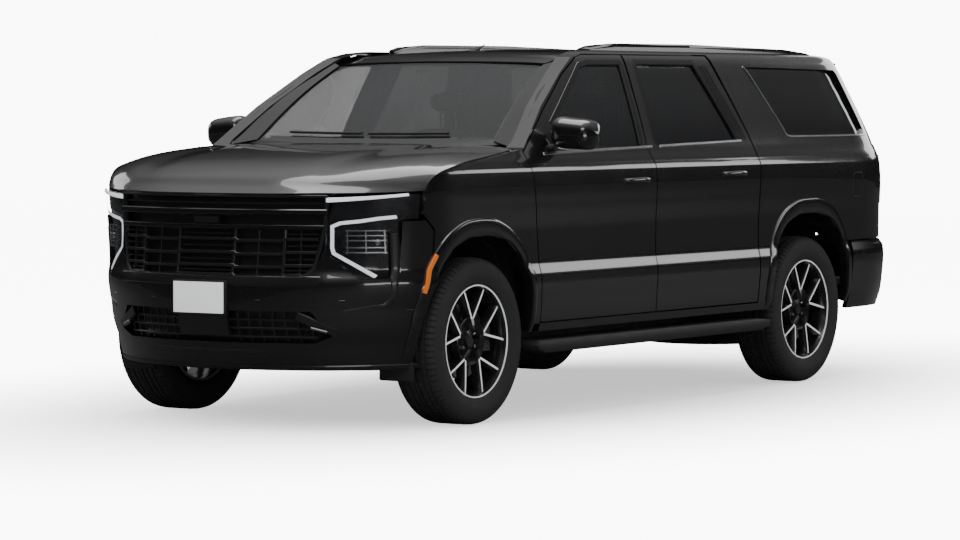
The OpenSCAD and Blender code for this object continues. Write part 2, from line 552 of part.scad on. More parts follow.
module exhaust() color([0.3, 0.3, 0.3]) translate([-620, 220, 420]) rotate([0, 90, 0])
    cylinder(d = 170, h = 800, $fn = 48);

// ---- Inside --------------------------------------------------------------
seat_side = [[-230, 0], [240, 0], [290, 250], [300, 380], [240, 405], [-120, 365], [-240, 930], [-330, 935],
    [-345, 880], [-250, 300], [-260, 200]];
head_side = [[-400, 985], [-290, 975], [-300, 1080], [-340, 1105], [-390, 1095]];
module side_solid(outline, w) rotate([90, 0, 0]) translate([0, 0, -w / 2]) linear_extrude(w) polygon(outline);
module seat(w, heads) {
    side_solid(seat_side, w);
    for (y = heads) translate([0, y, 0]) {
        side_solid(head_side, 260);
        for (s = [-50, 50]) translate([-330, s, 900]) cylinder(d = 16, h = 100, $fn = 24);
    }
}
module front_seats() color([0.1, 0.1, 0.1]) both_sides() translate([370, 430, floor_z]) seat(seat_w, [0]);
module second_row_seats() color([0.1, 0.1, 0.1]) both_sides() translate([-520, 430, floor_z]) seat(seat_w, [0]);
module third_row_seats() color([0.1, 0.1, 0.1]) translate([-1330, 0, floor_z]) seat(1180, [-400, 400]);
steer_at = [690, 410, 1230];
steer_tilt = -62;
module steering_wheel() color([0.05, 0.05, 0.05]) translate(steer_at) rotate([0, steer_tilt, 0]) {
    rotate_extrude($fn = 64) translate([steer_d / 2 - 15, 0]) circle(d = 30, $fn = 24);
    cylinder(d = 120, h = 40, center = true, $fn = 32);
    for (a = [0, 90, 180]) rotate([0, 0, a + 90]) translate([30, -20, -8]) cube([steer_d / 2 - 45, 40, 16]);
}

chassis_frame();
floor_pan();
engine();
cowl();
dashboard();
hood();
front_fenders();
wheel_liners();
body_sides();
door_frames();
front_left_door();
front_right_door();
rear_left_door();
rear_right_door();
front_left_glass();
front_right_glass();
rear_left_glass();
rear_right_glass();
left_mirror();
right_mirror();
quarter_glass();
roof();
windshield();
front_bumper();
grille();
headlights();
tailgate();
tailgate_glass();
tail_lights();
rear_bumper();
running_boards();
roof_rails();
front_left_tyre();
front_right_tyre();
rear_left_tyre();
rear_right_tyre();
front_left_rim();
front_right_rim();
rear_left_rim();
rear_right_rim();
left_knuckle();
right_knuckle();
front_suspension();
rear_axle();
driveshaft();
exhaust();
spare_wheel();
front_seats();
second_row_seats();
third_row_seats();
steering_wheel();
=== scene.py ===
"""The looks of a long-wheelbase SUV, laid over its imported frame: painted skins and glass, wheels, nose and
lamps, trim, cabin, then the studio. Lengths are in metres, with +X forward, +Y left and +Z up."""
import bpy
import math
import numpy as np
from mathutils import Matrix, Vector


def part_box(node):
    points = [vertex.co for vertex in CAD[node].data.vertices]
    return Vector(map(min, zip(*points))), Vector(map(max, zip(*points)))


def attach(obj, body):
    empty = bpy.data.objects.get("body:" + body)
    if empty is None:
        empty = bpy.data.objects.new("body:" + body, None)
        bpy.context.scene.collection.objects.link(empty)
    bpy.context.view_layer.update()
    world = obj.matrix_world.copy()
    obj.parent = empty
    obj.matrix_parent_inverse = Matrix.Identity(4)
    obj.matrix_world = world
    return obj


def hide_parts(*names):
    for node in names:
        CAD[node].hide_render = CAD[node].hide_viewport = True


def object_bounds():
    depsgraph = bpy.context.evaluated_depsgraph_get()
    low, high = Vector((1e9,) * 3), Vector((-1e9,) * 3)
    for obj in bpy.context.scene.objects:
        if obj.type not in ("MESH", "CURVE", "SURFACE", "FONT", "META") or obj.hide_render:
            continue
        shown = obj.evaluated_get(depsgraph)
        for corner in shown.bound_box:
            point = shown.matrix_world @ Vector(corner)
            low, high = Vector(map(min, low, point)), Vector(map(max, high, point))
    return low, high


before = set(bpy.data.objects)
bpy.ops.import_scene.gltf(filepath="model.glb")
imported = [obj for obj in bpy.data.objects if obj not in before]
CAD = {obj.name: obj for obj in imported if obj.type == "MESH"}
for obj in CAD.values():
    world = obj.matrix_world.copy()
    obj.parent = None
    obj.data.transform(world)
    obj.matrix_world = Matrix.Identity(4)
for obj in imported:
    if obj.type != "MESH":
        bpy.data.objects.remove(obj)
cad_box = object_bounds()

# ---------------------------------------------------------------- sizes
TAIL_X, NOSE_X = cad_box[0][0], cad_box[1][0]


def middle(node):
    low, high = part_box(node)
    return (low + high) / 2


FRONT_AXLE = middle("front_left_tyre")
REAR_AXLE = middle("rear_left_tyre")
WHEEL_R = FRONT_AXLE.z
FW, RW = FRONT_AXLE.x, REAR_AXLE.x
HALF_W = 1.03
CABIN_FLOOR = .56
PLATE_WIDE, PLATE_TALL = .305, .152
WELD_GAP, SEAM_GAP = .00005, .00001
PI = math.pi

# ---------------------------------------------------------------- body surfaces


def curve(points):
    """A smooth curve through points, with no overshoot between them."""
    xs = np.array([p[0] for p in points], float)
    ys = np.array([p[1] for p in points], float)
    h = np.diff(xs)
    d = np.diff(ys) / h
    m = np.zeros(len(xs))
    same = d[:-1] * d[1:] > 0
    w1, w2 = 2 * h[1:] + h[:-1], h[1:] + 2 * h[:-1]
    inner = np.zeros(len(d) - 1)
    inner[same] = ((w1 + w2)[same]) / (w1[same] / d[:-1][same] + w2[same] / d[1:][same])
    m[1:-1] = inner
    m[0], m[-1] = d[0], d[-1]

    def value(x):
        x = np.clip(x, xs[0], xs[-1])
        i = np.clip(np.searchsorted(xs, x) - 1, 0, len(h) - 1)
        t = (x - xs[i]) / h[i]
        return (ys[i] * (1 + 2 * t) * (1 - t) ** 2 + ys[i + 1] * t * t * (3 - 2 * t)
                + h[i] * (m[i] * t * (1 - t) ** 2 + m[i + 1] * t * t * (t - 1)))
    return value


side_inset = curve([(.28, .075), (.42, .048), (.5, .026), (.6, .014), (.69, .006), (.72, .006), (.8, .020),
                    (.95, .017), (1.08, .008), (1.18, .002), (1.25, .003), (1.29, .014), (1.345, .038),
                    (1.4, .058), (1.5, .096), (1.6, .137), (1.7, .18), (1.78, .215), (1.83, .24), (1.85, .256),
                    (1.862, .272), (1.872, .296), (1.882, .335)])
nose_back = curve([(.28, .11), (.34, .065), (.43, .038), (.52, .008), (.6, 0), (.7, .004), (.8, .024), (.95, .044),
                   (1.15, .062), (1.3, .11)])
tail_back = curve([(.4, .03), (.48, .006), (.6, 0), (.76, .008), (.79, .06), (.9, .066), (1.2, .088), (1.35, .11),
                   (1.6, .2), (1.79, .28), (1.86, .33)])
nose_m = curve([(.6, 2.2), (1.15, 3)])
nose_n = curve([(.6, 1.9), (1.15, 1.8)])
taper_z = curve([(1.1, 0), (1.345, .016), (1.8, .04)])
# where the nose and the tail start to round off, and how squarely the tail does
NOSE_X0 = FW + .13
TAIL_X0 = RW - .48
TAIL_P = 3.3


def full_y(x, z):
    """Half the width of the body at a height, before the nose and tail round off."""
    taper = taper_z(z) * np.clip((RW + .3 - x) / (RW + .3 - TAIL_X), 0, 1)
    return HALF_W - side_inset(z) - taper


def nose_c(z):
    return NOSE_X - nose_back(z)


def tail_c(z):
    return TAIL_X + tail_back(z)


def smooth01(t):
    t = np.clip(t, 0, 1)
    return t * t * (3 - 2 * t)


def side_y(x, z):
    """The side surface, as a half width for each length and height."""
    x, z = np.asarray(x, float), np.asarray(z, float)
    w = full_y(x, z)
    tn = np.clip((x - NOSE_X0) / (nose_c(z) - NOSE_X0), 0, 1)
    tt = np.clip((x - TAIL_X0) / (tail_c(z) - TAIL_X0), 0, 1)
    fn = np.maximum(1 - tn ** nose_m(z), 0) ** (1 / nose_n(z))
    ft = np.maximum(1 - tt ** TAIL_P, 0) ** (1 / TAIL_P)
    return w * fn * ft


def nose_x(y, z):
    """The nose surface ahead of the wheels, as a length for each width and height."""
    y, z = np.asarray(y, float), np.asarray(z, float)
    share = (np.abs(y) / full_y(NOSE_X0, z)).clip(0, 1)
    return NOSE_X0 + (nose_c(z) - NOSE_X0) * np.maximum(1 - share ** nose_n(z), 0) ** (1 / nose_m(z))


def tail_x(y, z):
    """The tail surface, as a length for each width and height."""
    y, z = np.asarray(y, float), np.asarray(z, float)
    share = (np.abs(y) / full_y(TAIL_X0, z)).clip(0, 1)
    return TAIL_X0 + (tail_c(z) - TAIL_X0) * np.maximum(1 - share ** TAIL_P, 0) ** (1 / TAIL_P)


# ---------------------------------------------------------------- helpers


def only(obj):
    bpy.ops.object.select_all(action="DESELECT")
    obj.select_set(True)
    bpy.context.view_layer.objects.active = obj


def edit_all(obj, operator, **settings):
    """Runs one edit-mode operator on the whole mesh."""
    only(obj)
    bpy.ops.object.mode_set(mode="EDIT")
    bpy.ops.mesh.select_all(action="SELECT")
    operator(**settings)
    bpy.ops.object.mode_set(mode="OBJECT")


def own_copy(obj, name):
    other = bpy.data.objects.new(name, obj.data.copy())
    bpy.context.scene.collection.objects.link(other)
    return other


def copy_of(node, name):
    """A welded copy of a CAD node's mesh, with no materials."""
    obj = own_copy(CAD[node], name)
    obj.data.materials.clear()
    if obj.data.has_custom_normals:
        only(obj)
        bpy.ops.mesh.customdata_custom_splitnormals_clear()
    edit_all(obj, bpy.ops.mesh.remove_doubles, threshold=WELD_GAP)
    return obj


def sliced(obj, cuts):
    """Cuts the mesh along planes, so that it bends smoothly between them."""
    only(obj)
    bpy.ops.object.mode_set(mode="EDIT")
    bpy.ops.mesh.select_all(action="SELECT")
    bpy.ops.mesh.dissolve_limited(angle_limit=.0005)
    for axis, values in cuts.items():
        no = Vector([1.0 if axis == a else 0.0 for a in "xyz"])
        for v in values:
            bpy.ops.mesh.select_all(action="SELECT")
            bpy.ops.mesh.bisect(plane_co=no * v, plane_no=no, xstart=0, ystart=0, xend=0, yend=0)
    bpy.ops.object.mode_set(mode="OBJECT")
    return obj


def coords(obj):
    co = np.zeros(len(obj.data.vertices) * 3)
    obj.data.vertices.foreach_get("co", co)
    return co.reshape(-1, 3)


def set_coords(obj, co):
    obj.data.vertices.foreach_set("co", co.astype(np.float32).ravel())
    obj.data.update()


def steps(lo, hi, size):
    """The places that cut a length into equal steps of about a size."""
    n = max(1, round((hi - lo) / size))
    return [lo + (hi - lo) * i / n for i in range(1, n)]


def finish_piece(obj, body, slot, materials, *nodes):
    """Gives a piece its materials and the body it rides on, and hides the CAD nodes it stands for; slot is not used.
    """
    if not isinstance(materials, (list, tuple)):
        materials = [materials]
    for m in materials:
        obj.data.materials.append(m)
    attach(obj, body)
    if nodes:
        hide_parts(*nodes)
    return obj


# ---------------------------------------------------------------- materials


def material(name, **values):
    m = bpy.data.materials.new(name)
    m.use_nodes = True
    shader = m.node_tree.nodes["Principled BSDF"]
    for key, v in values.items():
        socket = shader.inputs[key.replace("_", " ").title().replace("Ior", "IOR")]
        socket.default_value = (*v, 1) if isinstance(v, tuple) and len(v) == 3 else v
    return m


def group(name, inputs, outputs):
    """An empty shader node group, with its named sockets."""
    g = bpy.data.node_groups.new(name, "ShaderNodeTree")
    for n, v in inputs:
        color = isinstance(v, tuple)
        kind = "NodeSocketColor" if color else "NodeSocketFloat"
        s = g.interface.new_socket(name=n, in_out="INPUT", socket_type=kind)
        s.default_value = (*v, 1) if color else v
    for n, kind in outputs:
        g.interface.new_socket(name=n, in_out="OUTPUT", socket_type=kind)
    return g, g.nodes.new("NodeGroupInput"), g.nodes.new("NodeGroupOutput")


def grain_group():
    """Mottled colour, uneven gloss and a fine relief, at a given scale."""
    g, gi, go = group("fine_grain", [("Color", (.1, .1, .1)), ("Shade", .2), ("Roughness", .4), ("Unevenness", .1),
                                     ("Scale", 400.0), ("Relief", .2)],
                      [("Color", "NodeSocketColor"), ("Roughness", "NodeSocketFloat"), ("Normal", "NodeSocketVector")])
    n, link = g.nodes, g.links.new
    place, fine, broad, bump, span, fac, mix = [n.new("ShaderNode" + kind) for kind in (
        "TexCoord", "TexNoise", "TexNoise", "Bump", "Math", "Math", "Mix")]
    fine.inputs["Detail"].default_value = 3
    broad.inputs["Scale"].default_value = 7
    broad.inputs["Detail"].default_value = 4
    link(place.outputs["Object"], fine.inputs["Vector"])
    link(place.outputs["Object"], broad.inputs["Vector"])
    link(gi.outputs["Scale"], fine.inputs["Scale"])
    bump.inputs["Distance"].default_value = .0006
    link(gi.outputs["Relief"], bump.inputs["Strength"])
    link(fine.outputs["Fac"], bump.inputs["Height"])
    link(bump.outputs["Normal"], go.inputs["Normal"])
    span.operation = "MULTIPLY_ADD"
    link(broad.outputs["Fac"], span.inputs[0])
    link(gi.outputs["Unevenness"], span.inputs[1])
    link(gi.outputs["Roughness"], span.inputs[2])
    link(span.outputs[0], go.inputs["Roughness"])
    fac.operation = "MULTIPLY"
    link(fine.outputs["Fac"], fac.inputs[0])
    link(gi.outputs["Shade"], fac.inputs[1])
    mix.data_type, mix.blend_type = "RGBA", "MULTIPLY"
    link(fac.outputs[0], mix.inputs[0])
    link(gi.outputs["Color"], mix.inputs[6])
    mix.inputs[7].default_value = (.25, .25, .25, 1)
    link(mix.outputs[2], go.inputs["Color"])
    return g


def tint_group():
    """A slight unevenness in how much a glass lets through."""
    g, gi, go = group("uneven_tint", [("Thinnest", .0), ("Thickest", 1.0)], [("Alpha", "NodeSocketFloat")])
    place, noise, fade = [g.nodes.new("ShaderNode" + kind) for kind in ("TexCoord", "TexNoise", "MapRange")]
    noise.inputs["Scale"].default_value = 3
    g.links.new(place.outputs["Object"], noise.inputs["Vector"])
    g.links.new(noise.outputs["Fac"], fade.inputs["Value"])
    g.links.new(gi.outputs["Thinnest"], fade.inputs["To Min"])
    g.links.new(gi.outputs["Thickest"], fade.inputs["To Max"])
    g.links.new(fade.outputs["Result"], go.inputs["Alpha"])
    return g


GRAIN, TINT = grain_group(), tint_group()


def grained(name, color, shade=.3, rough=.4, uneven=.15, scale=400.0, relief=.2, **values):
    m = material(name, **values)
    t = m.node_tree
    n = t.nodes.new("ShaderNodeGroup")
    n.node_tree = GRAIN
    for key, v in (("Color", (*color, 1)), ("Shade", shade), ("Roughness", rough), ("Unevenness", uneven),
                   ("Scale", scale), ("Relief", relief)):
        n.inputs[key].default_value = v
    s = t.nodes["Principled BSDF"]
    t.links.new(n.outputs["Color"], s.inputs["Base Color"])
    t.links.new(n.outputs["Roughness"], s.inputs["Roughness"])
    t.links.new(n.outputs["Normal"], s.inputs["Normal"])
    return m


paint = grained("black_lacquer", (.0045, .0045, .0052), shade=.2, rough=.16, uneven=.05, scale=900.0, relief=.012,
                coat_weight=1.0, coat_roughness=.02, coat_ior=1.6, specular_ior_level=.6)
trim = grained("black_moulding", (.011, .011, .012), rough=.42, uneven=.18, scale=1500.0, relief=.35)
gloss_trim = grained("black_gloss_trim", (.006, .006, .007), rough=.1, uneven=.05, scale=700.0, relief=.02,
                     coat_weight=.6, coat_roughness=.04)
bright = grained("bright_moulding", (.62, .63, .65), shade=.1, rough=.16, uneven=.1,
                 scale=300.0, relief=.02, metallic=1.0)
turned = grained("turned_alloy", (.86, .87, .89), shade=.1, rough=.3, uneven=.1,
                 scale=600.0, relief=.04, metallic=.25)
wheel_black = grained("wheel_black", (.006, .006, .007), rough=.2, uneven=.08,
                      scale=600.0, relief=.03, coat_weight=.8, coat_roughness=.05)
rubber = grained("tyre_rubber", (.013, .013, .0135), shade=.5, rough=.62, uneven=.2, scale=260.0, relief=.5)
steel = grained("plain_steel", (.33, .33, .34), shade=.4, rough=.3, uneven=.25,
                scale=240.0, relief=.2, metallic=1.0)
disc_steel = grained("brake_disc", (.4, .4, .41), shade=.3, rough=.28, uneven=.12,
                     scale=500.0, relief=.15, metallic=1.0)
cast = grained("cast_metal", (.12, .12, .125), shade=.5, rough=.5, uneven=.2,
               scale=180.0, relief=.8, metallic=.8)
chassis_paint = grained("chassis_paint", (.012, .012, .012), shade=.5, rough=.45, uneven=.25,
                        scale=120.0, relief=.5)
cabin = grained("cabin_moulding", (.016, .016, .017), rough=.5, uneven=.15, scale=1800.0, relief=.6)
leather = grained("seat_leather", (.018, .017, .017), shade=.5, rough=.38, uneven=.15, scale=650.0, relief=.7)
carpet = grained("carpet", (.02, .02, .021), shade=.8, rough=.85, uneven=.1,
                 scale=900.0, relief=1.0, sheen_weight=.3)
mesh_black = grained("grille_black", (.007, .007, .008), rough=.25, uneven=.1,
                     scale=500.0, relief=.05, coat_weight=.5)
plate_white = grained("plate_white", (.78, .79, .8), shade=.05, rough=.35, uneven=.1, scale=300.0, relief=.05)
silver = grained("lamp_silver", (.55, .56, .58), shade=.1, rough=.2, uneven=.1,
                 scale=300.0, relief=.03, metallic=1.0)
led = grained("light_guide", (.8, .82, .86), shade=.05, rough=.25, uneven=.05, scale=200.0, relief=.03,
              emission_color=(.85, .9, 1.0), emission_strength=.12)
amber = grained("amber_lens", (.55, .12, .005), shade=.1, rough=.12, uneven=.05,
                scale=150.0, relief=.1, coat_weight=1.0)
red = grained("red_lens", (.07, .002, .002), shade=.25, rough=.12, uneven=.05,
              scale=150.0, relief=.15, coat_weight=1.0)


TINT_SPREAD = .02


def glass_material(name, color, alpha):
    m = material(name, base_color=color, roughness=.02, coat_weight=1.0, coat_roughness=.01,
                 specular_ior_level=.7)
    t = m.node_tree
    tint = t.nodes.new("ShaderNodeGroup")
    tint.node_tree = TINT
    tint.inputs["Thinnest"].default_value = alpha - TINT_SPREAD
    tint.inputs["Thickest"].default_value = alpha + TINT_SPREAD
    t.links.new(tint.outputs["Alpha"], t.nodes["Principled BSDF"].inputs["Alpha"])
    return m


dark_glass = glass_material("privacy_glass", (.004, .0045, .005), .93)
front_glass = glass_material("tinted_glass", (.008, .009, .0095), .8)
screen_glass = glass_material("screen_glass", (.01, .012, .013), .4)
lens_glass = glass_material("lamp_cover", (.02, .022, .024), .08)

# ---------------------------------------------------------------- body skin


def skin_field(x, y, z):
    """1 on the outer skin, less inside it."""
    w = full_y(x, z)
    tn = np.clip((x - NOSE_X0) / (nose_c(z) - NOSE_X0), 0, None)
    tt = np.clip((x - TAIL_X0) / (tail_c(z) - TAIL_X0), 0, None)
    n = np.where(x > NOSE_X0, nose_n(z), TAIL_P)
    a = np.where(x > NOSE_X0, tn ** nose_m(z), tt ** TAIL_P)
    return a + (np.abs(y) / w) ** n


def to_skin(co):
    """Each point moved level onto the outer skin."""
    x, y, z = co.T
    w = full_y(x, z)
    front, back = x > NOSE_X0, x < TAIL_X0
    x0 = np.where(front, NOSE_X0, np.where(back, TAIL_X0, x))
    c = np.where(front, nose_c(z), tail_c(z))
    a = np.where(front | back, np.abs((x - x0) / (c - x0)), 0)
    b = np.abs(y) / w
    m = np.where(front, nose_m(z), TAIL_P)
    n = np.where(front, nose_n(z), TAIL_P)
    k = np.ones_like(x)
    for _ in range(12):
        f = (k * a) ** m + (k * b) ** n - 1
        df = (m * (k * a) ** m + n * (k * b) ** n) / k
        k = np.clip(k - f / np.maximum(df, 1e-6), .3, 3)
    k = np.where(front | back, k, 1 / np.maximum(b, 1e-6))
    return np.stack([x0 + (x - x0) * k, y * k, z], 1)


def skin_normals(co):
    h = .0008
    g = np.stack([skin_field(*(co + h * e).T) - skin_field(*(co - h * e).T) for e in np.eye(3)], 1)
    return g / np.linalg.norm(g, axis=1, keepdims=True)


def shade_with(obj, on, normals, facing=.55):
    """Gives the skin its true smooth normals; other faces keep theirs, smoothed by angle."""
    only(obj)
    bpy.ops.object.shade_smooth_by_angle(angle=math.radians(30))
    me = obj.data
    face_n = np.zeros(len(me.polygons) * 3)
    me.polygons.foreach_get("normal", face_n)
    face_n = face_n.reshape(-1, 3)
    loops_v = np.zeros(len(me.loops), int)
    me.loops.foreach_get("vertex_index", loops_v)
    totals = np.zeros(len(me.polygons), int)
    me.polygons.foreach_get("loop_total", totals)
    loop_face = np.repeat(np.arange(len(me.polygons)), totals)
    wanted = normals[loops_v]
    ok = on[loops_v] & ((face_n[loop_face] * wanted).sum(1) > facing)
    own = np.array([c.vector[:] for c in me.corner_normals])
    me.normals_split_custom_set(np.where(ok[:, None], wanted, own).tolist())


def skin_panel(node, name, dx, dy, near, dz=.022):
    """A CAD panel cut into a fine mesh, with all that lies near the skin moved onto it."""
    obj = copy_of(node, name)
    co = coords(obj)
    lo, hi = co.min(0), co.max(0)
    cuts = {"z": steps(lo[2], hi[2], dz), "x": steps(lo[0], hi[0], dx)}
    if dy:
        cuts["y"] = steps(lo[1], hi[1], dy)
    sliced(obj, cuts)
    co = coords(obj)
    put = to_skin(co)
    on = np.linalg.norm(put - co, axis=1) < near
    co[on] = put[on]
    set_coords(obj, co)
    shade_with(obj, np.ones(len(co), bool), skin_normals(to_skin(co)))
    return obj


# ---------------------------------------------------------------- shaping helpers


def loft(name, points, closed=False, capped=False, consistent=True):
    """A grid laid through rows of points; closed wraps each row into a ring, capped fills both ends."""
    p = np.asarray(points, float)
    if closed:
        p = np.concatenate([p, p[:, :1]], 1)
    n, m = p.shape[:2]
    bpy.ops.object.select_all(action="DESELECT")
    bpy.ops.mesh.primitive_grid_add(x_subdivisions=m - 1, y_subdivisions=n - 1)
    obj = bpy.context.object
    obj.name = obj.data.name = name
    set_coords(obj, p.reshape(-1, 3))
    bpy.ops.object.mode_set(mode="EDIT")
    bpy.ops.mesh.select_all(action="SELECT")
    bpy.ops.mesh.remove_doubles(threshold=SEAM_GAP)
    if capped:
        bpy.ops.mesh.select_all(action="DESELECT")
        bpy.ops.mesh.select_non_manifold(extend=False)
        bpy.ops.mesh.fill_holes(sides=0)
        bpy.ops.mesh.select_all(action="SELECT")
    if consistent:
        bpy.ops.mesh.normals_make_consistent(inside=False)
    bpy.ops.object.mode_set(mode="OBJECT")
    return obj


def faced(obj, face, axis):
    """Turns a surface round if one of its faces looks down an axis rather than up it."""
    if obj.data.polygons[face].normal[axis] < 0:
        obj.data.flip_normals()
    return obj


def block(name, size, at, edge, segments=2):
    """A box with rounded edges."""
    bpy.ops.mesh.primitive_cube_add(size=1)
    obj = bpy.context.object
    obj.name = obj.data.name = name
    set_coords(obj, coords(obj) * size + at)
    return applied(obj, "BEVEL", width=edge, segments=segments)


def around(count):
    """Angles spaced evenly round a full turn."""
    return np.linspace(0, 2 * PI, count, endpoint=False)


def smoothed(obj, angle=35):
    only(obj)
    bpy.ops.object.shade_smooth_by_angle(angle=math.radians(angle))
    return obj


def applied(obj, kind, **settings):
    only(obj)
    mod = obj.modifiers.new(kind.lower(), kind)
    for key, v in settings.items():
        setattr(mod, key, v)
    bpy.ops.object.modifier_apply(modifier=mod.name)
    return obj


def mirrored(obj, name):
    """A copy on the other side of the car."""
    other = own_copy(obj, name)
    set_coords(other, coords(other) * [1, -1, 1])
    edit_all(other, bpy.ops.mesh.flip_normals)
    return other


def joined(objs, name):
    bpy.ops.object.select_all(action="DESELECT")
    for o in objs:
        o.select_set(True)
    bpy.context.view_layer.objects.active = objs[0]
    bpy.ops.object.join()
    objs[0].name = objs[0].data.name = name
    return objs[0]


def through(points, count):
    """Points spaced evenly along a smooth line through the given ones."""
    p = np.asarray(points, float)
    t = np.concatenate([[0], np.cumsum(np.linalg.norm(np.diff(p, axis=0), axis=1))])
    lines = [curve(list(zip(t, p[:, k]))) for k in range(p.shape[1])]
    return np.stack([c(np.linspace(0, t[-1], count)) for c in lines], 1)


def straight(points, gap=.03):
    """The same corners, with points added between them along straight lines."""
    out = [np.asarray(points[0], float)]
    for a, b in zip(points[:-1], points[1:]):
        a, b = np.asarray(a, float), np.asarray(b, float)
        n = max(1, int(np.linalg.norm(b - a) / gap))
        out += [a + (b - a) * i / n for i in range(1, n + 1)]
    return np.array(out)


def across_of(path):
    """Unit vectors square to a flat path, mitred at its corners."""
    t = np.diff(path, axis=0)
    t /= np.linalg.norm(t, axis=1, keepdims=True)
    n = np.stack([-t[:, 1], t[:, 0]], 1)
    a, b = np.concatenate([n[:1], n]), np.concatenate([n, n[-1:]])
    return (a + b) / np.maximum(1 + (a * b).sum(1, keepdims=True), .4)


def off_skin(p, proud):
    """Points on the skin, moved out from it by a height."""
    n = skin_normals(p.reshape(-1, 3)).reshape(p.shape)
    return p + n * np.asarray(proud, float)[..., None]


def on_nose(y, z, proud=0.0):
    return off_skin(np.stack([nose_x(y, z), y, z], -1), proud)


def on_tail(y, z, proud=0.0):
    return off_skin(np.stack([tail_x(y, z), y, z], -1), proud)


def on_side(x, z, proud=0.0):
    return off_skin(np.stack([x, side_y(x, z), z], -1), proud)


def bar(name, place, path, width, proud, depth, soft=.2):
    """A bar that follows a surface: place() puts flat points on it, proud of it by a height."""
    path = np.asarray(path, float)
    across = across_of(path)
    width = np.broadcast_to(np.asarray(width, float), len(path))[:, None]
    c = soft * float(np.mean(width)) * .5
    offs = np.array([-.5, -.5, -.5, 0, .5, .5, .5])
    ins = np.array([0, 0, 1, 1, 1, 0, 0])
    high = np.array([-depth, proud - c, proud, proud, proud, proud - c, -depth])
    side = offs * width + np.sign(-offs) * ins * c
    flat = path[:, None, :] + across[:, None, :] * side[:, :, None]
    high = np.broadcast_to(high, flat.shape[:2])
    return loft(name, place(flat[..., 0], flat[..., 1], high), closed=True, capped=True)


def nose_bar(name, path, width, proud=.004, depth=.02, soft=.3):
    return smoothed(bar(name, on_nose, straight(path), width, proud, depth, soft), 40)


def side_bar(name, path, width, proud=.003, depth=.008, soft=.3):
    return smoothed(bar(name, on_side, straight(path, .04), width, proud, depth, soft), 40)


def tail_bar(name, path, width, proud, depth, soft=.3):
    return smoothed(bar(name, on_tail, straight(path), width, proud, depth, soft), 40)


def both(obj, body, slot_name, mats, name=None):
    """Finishes a left-hand piece and its mirror image."""
    base = name or obj.name
    other = mirrored(obj, base + "_right")
    obj.name = obj.data.name = base + "_left"
    finish_piece(obj, body, slot_name, mats)
    finish_piece(other, body.replace("left", "right"), slot_name, mats)


# ---------------------------------------------------------------- painted panels
DOORS = [f"{end}_{side}_door" for end in ("front", "rear") for side in ("left", "right")]
NEAR_SKIN = {"front_fenders": .011, "body_sides": .02, "front_bumper": .016, "rear_bumper": .027, "tailgate": .03}
for node in DOORS + list(NEAR_SKIN):
    wide = node in ("front_bumper", "rear_bumper", "tailgate")
    piece = skin_panel(node, node + "_skin", dx=.03 if wide else .045, dy=.04 if wide else None,
                       near=NEAR_SKIN.get(node, .011))
    body = node if node in DOORS or node == "tailgate" else "body"
    finish_piece(piece, body, "black_paint", paint, node)

# the hood's rows from the screen to the nose: middle x, edge x, middle height, edge height
hood_rows = np.array([(1.472, 1.6, 1.39, 1.364), (1.62, 1.68, 1.393, 1.352), (1.85, 1.85, 1.387, 1.332),
                      (2.1, 2.04, 1.37, 1.31), (2.33, 2.16, 1.343, 1.288), (2.52, 2.25, 1.306, 1.266),
                      (2.63, 2.3, 1.272, 1.24), (2.7, 2.33, 1.238, 1.212), (2.745, 2.345, 1.195, 1.186),
                      (NOSE_X - .068, 2.35, 1.16, 1.174)])
hood_fall = curve([(0, 1), (.3, .96), (.4, .93), (.46, .86), (.54, .72), (.6, .69), (.68, .7), (.8, .62), (.88, .45),
                   (.94, .25), (.98, .1), (1, 0)])
row_at = [curve(list(enumerate(hood_rows[:, k]))) for k in range(4)]
hv, hu = np.meshgrid(np.concatenate([np.linspace(0, 6, 40), np.linspace(6.1, 9, 26)]),
                     np.linspace(-1, 1, 121), indexing="ij")
hood_mx, hood_ex, hood_mz, hood_ez = [f(hv) for f in row_at]
ha = np.abs(hu)
hood_grid = np.stack([hood_mx - (hood_mx - hood_ex) * ha ** np.interp(hood_mx, [1.472, 1.85, 2.1], [8, 3, 2.6]),
                      side_y(hood_ex, hood_ez) * hu, hood_ez + (hood_mz - hood_ez) * hood_fall(ha)], -1)
hood = loft("hood_skin", hood_grid, consistent=False)
faced(hood, len(hood.data.polygons) // 3, 2)
applied(hood, "SOLIDIFY", thickness=.016, offset=-1)
finish_piece(smoothed(hood, 40), "hood", "black_paint", paint, "hood")

roof_line = curve([(-2.462, 1.842), (-2.2, 1.857), (-1.8, 1.874), (-1.2, 1.888), (-.5, 1.893), (0, 1.889), (.4, 1.876),
                   (.64, 1.848), (.79, 1.818)])
roof_fall = curve([(0, 0), (.4, .003), (.7, .008), (.9, .014), (1, .02)])


def roof_point(x, u):
    a = np.abs(u)
    z = roof_line(x) - roof_fall(a) * np.interp(x, [-2.48, .35, .79], [.5, 1, .7])
    half_wide = side_y(np.minimum(x, .7), 1.881 + 0 * x) - .043
    return np.stack([x - np.where(x > .6, .034 * u * u, 0), u * half_wide, z], -1)


rx, ru = np.meshgrid(np.linspace(-2.462, .79, 80), np.linspace(-1, 1, 41), indexing="ij")
roof = faced(loft("roof_skin", roof_point(rx, ru), consistent=False), 100, 2)
applied(roof, "SOLIDIFY", thickness=.02, offset=-1)
finish_piece(smoothed(roof), "body", "black_paint", paint, "roof")


# ---------------------------------------------------------------- glass
SCREEN_FOOT_X, SCREEN_FOOT_Z = 1.452, 1.384
SCREEN_RUN, SCREEN_RISE = .65, .424
SCREEN_HALF, SCREEN_NARROWING = .762, .096


